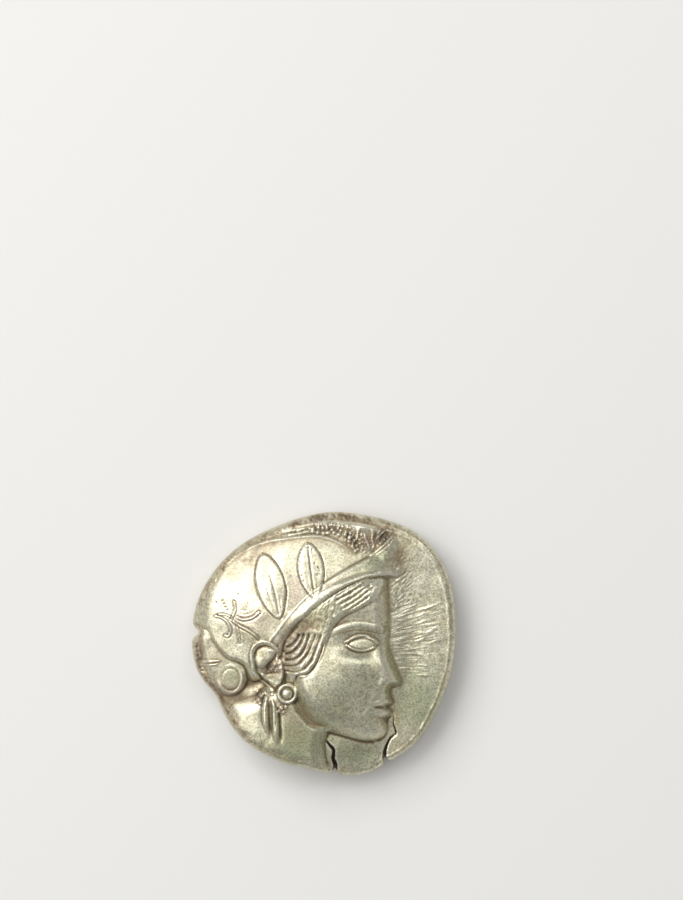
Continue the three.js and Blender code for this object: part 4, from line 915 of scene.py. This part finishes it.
ROSE_PATCHES = (
    (-2.6, 4.9, 0.9, 1.7, -10, 1.0), (-5.6, 2.2, 1.5, 1, 0, 0.6), (-6.6, 3.2, 1.5, 0.9, 20, 0.5),
    (-4.6, -0.9, 0.9, 0.9, 0, 0.3),
    (-4.3, -2.0, 0.8, 0.5, 0, 0.5), (3.6, 9.3, 0.9, 0.9, 0, 0.6), (-6.7, 2.1, 1.2, 0.5, 10, 0.6),
    (-2.6, -6.2, 1.2, 0.8, 20, 0.7),
    (-4.6, -1.9, 0.7, 0.6, 0, 0.7))
GOLD_PATCHES = (
    (2.6, 8.8, 0.7, 0.8, 0, 0.7), (2.2, 10.1, 0.6, 0.6, 0, 0.4), (-5.6, -4.5, 0.5, 0.6, 0, 0.8),
    (6.4, -6.7, 0.28, 1.2, 0, 2.0),
    (-3.6, -5.6, 0.5, 0.5, 0, 0.7), (-4.2, -2.7, 0.9, 0.3, 0, 0.4), (-6.3, 0.9, 1.4, 0.6, 0, 0.35),
    (-9.5, 7.3, 1.2, 0.7, 45, 0.5),
    (1.4, -11.5, 0.5, 0.4, 0, 0.7))
GRAINY_PATCHES = (
    (2.6, 9.2, 0.8, 0.9, 0, 0.75), (5.4, 9.5, 0.8, 0.7, 42, 1.0), (3.6, 8.9, 0.8, 0.8, 0, 0.6),
    (-5.6, -4.6, 0.6, 0.7, 0, 0.9),
    (6.8, 7.4, 0.5, 1.3, -20, 0.4), (-4.6, -2.2, 0.8, 0.35, -8, 0.6), (-4.5, -1.8, 0.5, 0.5, 0, 0.5),
    (-5.4, -0.7, 0.5, 0.5, 0, 0.3),
    (-3.6, -5.6, 0.6, 0.5, 0, 0.9), (-6.2, 0.3, 0.6, 0.6, 0, 0.25), (-3.5, -0.6, 0.4, 1.2, 0, 0.5))
WALL_BROWN = 0.2       # share of the brown that stays on the side wall


def patches(x, y, places):
    """Soft patches: a bell at each place, added together."""
    return sum(mound(x, y, *place) for place in places)


def toning(x, y, size):
    """Amounts of green, brown, rose and gold toning over the upper face, in soft patches at named places and
    in an uneven band along the edge; and how grainy the surface is. Some of the brown patches and one green
    patch are painted shade rather than toning."""
    angle = np.arctan2(y, x)
    edge = rim(angle, size) - np.hypot(x, y)
    uneven = clamp(0.6 + 0.6 * ripple(x, y, 1.5, 81) + 0.5 * ripple(x, y, 0.5, 82), 0, 1.6)
    band = bell(edge - 0.4, 0.36) * uneven
    top, left = bell(angle - 1.45, 0.5), bell(np.abs(angle) - 2.75, 0.6)
    # brown holds dirt and toning, and also the painted shade of the brown patches
    brown = patches(x, y, BROWN_AND_SHADE_PATCHES) + band * (0.9 * top + 0.05 * left + 0.05) + 0.9 * tail_pits(x, y)
    brown = brown * (WALL_BROWN + (1 - WALL_BROWN) * smooth(0, 0.3, edge))
    gold = patches(x, y, GOLD_PATCHES) + 0.35 * band * left
    grainy = patches(x, y, GRAINY_PATCHES) + 0.35 * band * (0.4 + top + left)
    amounts = (patches(x, y, GREEN_PATCHES), brown, patches(x, y, ROSE_PATCHES), gold)
    return np.column_stack([clamp(amount) for amount in amounts]), clamp(grainy)


# ---------------------------------------------------------------- worn silver


class Nodes:
    """A material's node tree, built in few words."""

    def __init__(self, name):
        self.material = bpy.data.materials.new(name)
        self.material.use_nodes = True
        self.tree = self.material.node_tree
        self.tree.nodes.clear()

    def add(self, kind, inputs=None, **settings):
        node = self.tree.nodes.new("ShaderNode" + kind)
        for name, value in settings.items():
            setattr(node, name, value)
        for name, value in (inputs or {}).items():
            if isinstance(value, bpy.types.NodeSocket):
                self.tree.links.new(value, node.inputs[name])
            else:
                node.inputs[name].default_value = value
        return node

    def math(self, operation, a, b=0.0, limit=False):
        return self.add("Math", {0: a, 1: b}, operation=operation, use_clamp=limit).outputs[0]

    def noise(self, place, scale, detail=4.0, rough=0.55, twist=0.0):
        return self.add("TexNoise", {"Vector": place, "Scale": scale, "Detail": detail, "Roughness": rough,
                                     "Distortion": twist}).outputs["Fac"]

    def spread(self, value, low, high, out_low=0.0, out_high=1.0):
        return self.add("MapRange", {"Value": value, "From Min": low, "From Max": high, "To Min": out_low,
                                     "To Max": out_high}).outputs["Result"]

    def mix(self, share, a, b, blend="MIX"):
        node = self.add("Mix", data_type="RGBA", blend_type=blend)
        for socket, value in ((0, share), (6, a), (7, b)):
            if isinstance(value, bpy.types.NodeSocket):
                self.tree.links.new(value, node.inputs[socket])
            else:
                node.inputs[socket].default_value = value
        return node.outputs[2]


def worn_silver(look):
    """Old silver: bright on the worn heights, brown dirt in the hollows, patches of green, rose and gold
    toning, brown and dark painted shade where the toning attribute carries it, fine speckle and pits, and
    small granules where the coin is grainy. Patterns are in millimetres on the coin's own axes, and the
    bump's height is in metres."""
    n = Nodes("worn_silver")
    where = n.add("Mapping", {"Vector": n.add("TexCoord").outputs["Object"],
                              "Scale": (1000, 1000, 1000)}).outputs[0]
    # the toning attribute's brown and green parts carry painted shade as well as toning
    tone = n.add("Attribute", attribute_name="toning")
    part = n.add("SeparateColor", {"Color": tone.outputs["Color"]}).outputs
    low = n.add("Attribute", attribute_name="hollow").outputs["Fac"]
    high = n.add("Attribute", attribute_name="height").outputs["Fac"]
    rough_place = n.add("Attribute", attribute_name="grain").outputs["Fac"]
    cloud, grain, speck = (n.noise(where, 0.6, 6, 0.65), n.noise(where, 2.6, 6, 0.75),
                           n.noise(where, 6, 3, 0.7))
    cells = n.add("TexVoronoi", {"Vector": where, "Scale": 4.6, "Randomness": 1.0}).outputs["Distance"]
    colour = n.mix(n.spread(cloud, 0.35, 0.62), look.silver[:], look.silver_warm[:])
    colour = n.mix(n.math("MULTIPLY", part[0], n.spread(grain, 0.34, 0.6, 0.3, 1.1), True), colour,
                   look.green[:])
    colour = n.mix(n.math("MULTIPLY", part[2], n.spread(grain, 0.3, 0.65), True), colour, look.rose[:])
    colour = n.mix(n.math("MULTIPLY", tone.outputs["Alpha"], n.spread(grain, 0.35, 0.6), True), colour,
                   look.gold[:])
    speckle = n.math("MULTIPLY", n.spread(speck, 0.37, 0.6, 1 - look.speckle, 1.0),
                     n.spread(grain, 0.36, 0.6, 1 - 0.6 * look.speckle, 1.0))
    colour = n.mix(1.0, colour, speckle, "MULTIPLY")
    between = n.math("MULTIPLY", rough_place, n.spread(cells, 0.3, 0.62))
    # brown from the hollows' dirt and from the brown patches, part of which are painted shade; it also dulls
    # the metal
    soil_and_shade = n.math("MULTIPLY", n.math("ADD", low, part[1]), n.spread(grain, 0.3, 0.6, 0.3, 1.1), True)
    soil_and_shade = n.math("ADD", soil_and_shade, n.math("MULTIPLY", between, 0.8), True)
    soil_and_shade = n.math("MULTIPLY", soil_and_shade, n.math("SUBTRACT", 1.0, n.math("MULTIPLY", high, 0.6)))
    colour = n.mix(n.math("MULTIPLY", soil_and_shade, look.dirt), colour, look.brown[:])
    # the strongest brown patches, painted shade among them, and the gaps between granules go dark
    caked_and_shade = n.math("ADD", n.math("MULTIPLY", between, 0.7), n.spread(part[1], 0.5, 1.0, 0, 0.5))
    deep = n.math("MULTIPLY", n.math("ADD", n.math("POWER", low, 3.0), caked_and_shade), look.dirt, True)
    colour = n.mix(deep, colour, look.dark[:])
    colour = n.mix(n.math("MULTIPLY", high, 0.35), colour, look.bright[:])
    colour = n.mix(n.spread(speck, 0.61, 0.72, 0, 0.6), colour, look.dark[:])
    rough = n.math("ADD", n.spread(grain, 0.3, 0.7, look.roughness - 0.05, look.roughness + 0.07),
                   n.math("MULTIPLY", soil_and_shade, 0.22))
    skin = n.math("MULTIPLY", n.math("ADD", n.noise(where, 1.4, 1, 0.4), n.math("MULTIPLY", speck, 0.5)),
                  look.pitting)
    beads = n.math("MULTIPLY", rough_place, n.spread(cells, 0.0, 0.7, look.granules, 0))
    bump = n.add("Bump", {"Height": n.math("ADD", skin, beads), "Strength": 1.0, "Distance": 1.0}).outputs[0]
    shader = n.add("BsdfPrincipled", {"Base Color": colour, "Roughness": rough, "Normal": bump,
                                      "Metallic": n.math("SUBTRACT", 1.0, n.math("MULTIPLY", soil_and_shade, 0.45))})
    n.add("OutputMaterial", {"Surface": shader.outputs[0]})
    return n.material


def plain_paint(name, colour, roughness):
    """A plain paint of one colour."""
    n = Nodes(name)
    shader = n.add("BsdfPrincipled", {"Base Color": colour, "Roughness": roughness})
    n.add("OutputMaterial", {"Surface": shader.outputs[0]})
    return n.material


# ---------------------------------------------------------------- sizes and colours to change


def length(name, millimetres, description):
    """A length to change, kept in metres, with its default in millimetres."""
    return FloatProperty(name=name, description=description, default=millimetres * MM, min=0, precision=5,
                         subtype="DISTANCE", unit="LENGTH")


def colour(name, value, description):
    """A colour to change."""
    return FloatVectorProperty(name=name, description=description, default=(*value, 1.0), size=4, min=0,
                               max=1,
                               subtype="COLOR")


class CoinSizes(bpy.types.PropertyGroup):
    """Sizes of the flan and of its main forms"""

    mean_radius: length("Mean radius", 11.55, "Radius of the flan before its bumps")
    edge_round: length("Edge rounding", 0.5, "Radius of the rounded edge of each face")
    field_high: length("Field height", 2.9, "Height of the upper field at the edge")
    field_dome: length("Field dome", 0.45, "How far the field rises to the middle")
    head_swell: length("Head swell", 0.45, "Broad rise of the ground under the head")
    bowl_high: length("Helmet bowl", 1.8, "Height of the helmet's bowl above the ground")
    visor_high: length("Visor", 2.28, "Height of the upturned visor")
    cheek_high: length("Cheek", 1.32, "Height of the face above the swell")
    neck_high: length("Neck", 0.85, "Height of the neck above the swell")
    square_half: length("Half square", 7.3, "Half the side of the sunken square")
    square_deep: length("Square depth", 1.0, "Depth of the sunken square")
    owl_high: length("Owl", 0.62, "Height of the owl above the square's floor")
    square_turn: FloatProperty(name="Square turn", description="Turn of the sunken square",
                               default=np.radians(7.0),
                               subtype="ANGLE", unit="ROTATION")
    upper_cells: IntProperty(name="Upper cells", description="Cells along each side of the upper face's grid",
                             default=262, min=24, max=262)
    lower_cells: IntProperty(name="Lower cells", description="Cells along each side of the lower face's grid",
                             default=120, min=24, max=120)

    def in_millimetres(self):
        """The same sizes as plain numbers, lengths in millimetres and the turn in degrees."""
        plain = {name: getattr(self, name) for name in CoinSizes.__annotations__}
        plain = {k: v if isinstance(v, int) else v / MM for k, v in plain.items()}
        plain["square_turn"] = np.degrees(self.square_turn)
        return SimpleNamespace(**plain)


class SilverLook(bpy.types.PropertyGroup):
    """Colours and surface of the worn silver"""

    silver: colour("Silver", (1.0, 0.965, 0.74), "Clean worn silver")
    silver_warm: colour("Warm silver", (0.86, 0.8, 0.57), "Silver with a thin warm film")
    bright: colour("Bright silver", (0.93, 0.91, 0.8), "Silver rubbed bright on the heights")
    # green also paints the painted shade patch on the ear's lobe
    green: colour("Green toning", (0.5, 0.56, 0.33), "Grey-green toning on cheek, neck and visor")
    rose: colour("Rose toning", (0.72, 0.56, 0.44), "Rose-brown toning between the leaves")
    gold: colour("Golden film", (0.78, 0.66, 0.34), "Golden film on grainy places and along the edge")
    # brown also paints the painted shade of the brown patches
    brown: colour("Brown dirt", (0.3, 0.2, 0.1), "Golden-brown dirt in the hollows")
    # dark also paints the strongest brown patches, painted shade among them
    dark: colour("Dark dirt", (0.07, 0.05, 0.035), "Dark dirt in the deepest hollows")
    dirt: FloatProperty(name="Dirt", description="How strongly dirt shows in the hollows", default=0.8, min=0,
                        max=1,
                        subtype="FACTOR")
    roughness: FloatProperty(name="Roughness", description="Roughness of clean silver", default=0.34, min=0,
                             max=1,
                             subtype="FACTOR")
    speckle: FloatProperty(name="Speckle", description="How much darker the fine speckle is", default=0.5,
                           min=0, max=1,
                           subtype="FACTOR")
    pitting: FloatProperty(name="Pitting", description="Depth of the uneven skin", default=0.000025, min=0,
                           precision=6, subtype="DISTANCE", unit="LENGTH")
    granules: FloatProperty(name="Granules", description="Height of the granules on grainy places",
                            default=0.00008,
                            min=0, precision=6, subtype="DISTANCE", unit="LENGTH")


class StageSettings(bpy.types.PropertyGroup):
    """Floor, camera and lights"""

    floor: colour("Floor", (0.74, 0.73, 0.71), "Paint of the floor")
    camera_at: FloatVectorProperty(name="Camera place",
                                   description="Place of the camera, which looks straight down",
                                   default=(0.00157, 0.0172, 0.2934), size=3, subtype="TRANSLATION",
                                   unit="LENGTH")
    lens: FloatProperty(name="Lens", description="Focal length in millimetres on a 36 mm film side",
                        default=131.2,
                        min=10, max=300)
    key_power: FloatProperty(name="Key light", description="Power of the light from the upper left",
                             default=2.2, min=0,
                             subtype="POWER", unit="POWER")
    left_power: FloatProperty(name="Left light", description="Power of the light from the left", default=0.55,
                              min=0,
                              subtype="POWER", unit="POWER")
    side_power: FloatProperty(name="Side light", description="Power of the small light from the upper right",
                              default=0.3, min=0, subtype="POWER", unit="POWER")
    top_power: FloatProperty(name="Top light", description="Power of the broad light overhead", default=0.3,
                             min=0,
                             subtype="POWER", unit="POWER")
    sky: FloatProperty(name="Surround", description="Brightness of the even surround", default=0.425, min=0)


# ---------------------------------------------------------------- operators

CLEAN_STRIP = (6.6, 0.5, 1.3, 6, 5, 0.85)    # little dirt in the angle along the head's front
LOWER_TONING = 0.25                          # share of the upper face's toning that the lower one has
FLOOR_HALF, FLOOR_ROUGHNESS = 1.0, 0.7
FILM_SIDE, NEAR_CLIP, FAR_CLIP = 36, 0.001, 10


class TETRADRACHM_OT_strike_coin(bpy.types.Operator):
    """Strike the coin: one closed mesh with both faces, the rounded edge, cracks and worn silver finish"""

    bl_idname = "tetradrachm.strike_coin"
    bl_label = "Strike coin"

    def execute(self, context):
        size = context.scene.tetradrachm_sizes.in_millimetres()
        points, faces, upper = strike_mesh(size)
        mesh = bpy.data.meshes.new("struck_coin")
        mesh.vertices.add(len(points))
        mesh.vertices.foreach_set("co", (points * MM).ravel())
        mesh.loops.add(faces.size)
        mesh.loops.foreach_set("vertex_index", faces.ravel())
        mesh.polygons.add(len(faces))
        mesh.polygons.foreach_set("loop_start", np.arange(0, faces.size, 3))
        mesh.polygons.foreach_set("use_smooth", np.ones(len(faces), bool))
        mesh.update(calc_edges=True)
        if mesh.validate():
            raise RuntimeError("the coin's mesh had faults")
        x, y = points[:upper, 0], points[:upper, 1]
        (upper_low, upper_high), (lower_low, lower_high) = (
            hollows(points[:upper, 2], size.upper_cells), hollows(-points[upper:, 2], size.lower_cells))
        clean = 1 - mound(x, y, *CLEAN_STRIP)
        upper_low *= clean * smooth(0.5, 0.95, rim(np.arctan2(y, x), size) - np.hypot(x, y))
        upper_low = np.maximum(upper_low, clamp(2.5 * cracks(x, y) - 0.1))
        # the toning attribute carries painted shade as well as toning in its brown and green parts
        tones_and_shade, grain = toning(points[:, 0], points[:, 1], size)
        tones_and_shade[upper:] *= LOWER_TONING
        grain[upper:] *= LOWER_TONING
        for name, values in (("hollow", np.concatenate([upper_low, lower_low])),
                             ("height", np.concatenate([upper_high, lower_high])), ("grain", grain)):
            layer = mesh.attributes.new(name, "FLOAT", "POINT")
            layer.data.foreach_set("value", values)
        layer = mesh.attributes.new("toning", "FLOAT_COLOR", "POINT")
        layer.data.foreach_set("color", tones_and_shade.ravel())
        coin = bpy.data.objects.new("struck_coin", mesh)
        context.scene.collection.objects.link(coin)
        mesh.materials.append(worn_silver(context.scene.tetradrachm_silver))
        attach(coin, "root")
        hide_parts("coin")
        return {"FINISHED"}


class TETRADRACHM_OT_lay_stage(bpy.types.Operator):
    """Lay out the stage: a plain pale floor, soft lights and the camera that looks straight down"""

    bl_idname = "tetradrachm.lay_stage"
    bl_label = "Lay out stage"

    def execute(self, context):
        scene, stage = context.scene, context.scene.tetradrachm_stage
        half = FLOOR_HALF
        mesh = bpy.data.meshes.new("floor")
        mesh.from_pydata([(-half, -half, 0), (half, -half, 0), (half, half, 0), (-half, half, 0)], [],
                         [(0, 1, 2, 3)])
        mesh.materials.append(plain_paint("pale_floor", stage.floor[:], FLOOR_ROUGHNESS))
        floor = bpy.data.objects.new("floor", mesh)
        scene.collection.objects.link(floor)
        for name, place, side, power in (("key_light", (-0.27, 0.29, 0.4), 0.4, stage.key_power),
                                         ("left_light", (-0.36, -0.02, 0.4), 0.34, stage.left_power),
                                         ("side_light", (0.17, 0.25, 0.5), 0.2, stage.side_power),
                                         ("top_light", (-0.08, 0.05, 0.62), 0.6, stage.top_power)):
            light = bpy.data.lights.new(name, "AREA")
            light.shape, light.size, light.energy = "SQUARE", side, power
            lamp = bpy.data.objects.new(name, light)
            lamp.location = place
            lamp.rotation_euler = Vector(place).to_track_quat("Z", "Y").to_euler()
            scene.collection.objects.link(lamp)
        world = bpy.data.worlds.new("even_surround")
        world.use_nodes = True
        background = world.node_tree.nodes["Background"]
        background.inputs["Color"].default_value = (1, 1, 1, 1)
        background.inputs["Strength"].default_value = stage.sky
        scene.world = world
        scene.view_settings.view_transform = "Standard"
        data = bpy.data.cameras.new("camera")
        data.sensor_width, data.lens = FILM_SIDE, stage.lens
        data.clip_start, data.clip_end = NEAR_CLIP, FAR_CLIP
        camera = bpy.data.objects.new("camera", data)
        camera.location = stage.camera_at
        scene.collection.objects.link(camera)
        scene.camera = camera
        return {"FINISHED"}


class TETRADRACHM_PT_panel(bpy.types.Panel):
    """The operators, and the sizes, colours and lights that can be changed before they run"""

    bl_label = "Tetradrachm"
    bl_space_type = "VIEW_3D"
    bl_region_type = "UI"
    bl_category = "Coin"

    def draw(self, context):
        for operator in (TETRADRACHM_OT_strike_coin, TETRADRACHM_OT_lay_stage):
            self.layout.operator(operator.bl_idname)
        for key, kind in GROUPS.items():
            column = self.layout.column(align=True)
            for name in kind.__annotations__:
                column.prop(getattr(context.scene, key), name)


GROUPS = {"tetradrachm_sizes": CoinSizes, "tetradrachm_silver": SilverLook,
          "tetradrachm_stage": StageSettings}
CLASSES = (*GROUPS.values(), TETRADRACHM_OT_strike_coin, TETRADRACHM_OT_lay_stage, TETRADRACHM_PT_panel)


def register():
    for cls in CLASSES:
        bpy.utils.register_class(cls)
    for name, group in GROUPS.items():
        setattr(bpy.types.Scene, name, PointerProperty(type=group))


def unregister():
    for name in GROUPS:
        delattr(bpy.types.Scene, name)
    for cls in reversed(CLASSES):
        bpy.utils.unregister_class(cls)


def main():
    register()
    bpy.ops.tetradrachm.strike_coin()
    bpy.ops.tetradrachm.lay_stage()


if __name__ == "__main__":
    main()
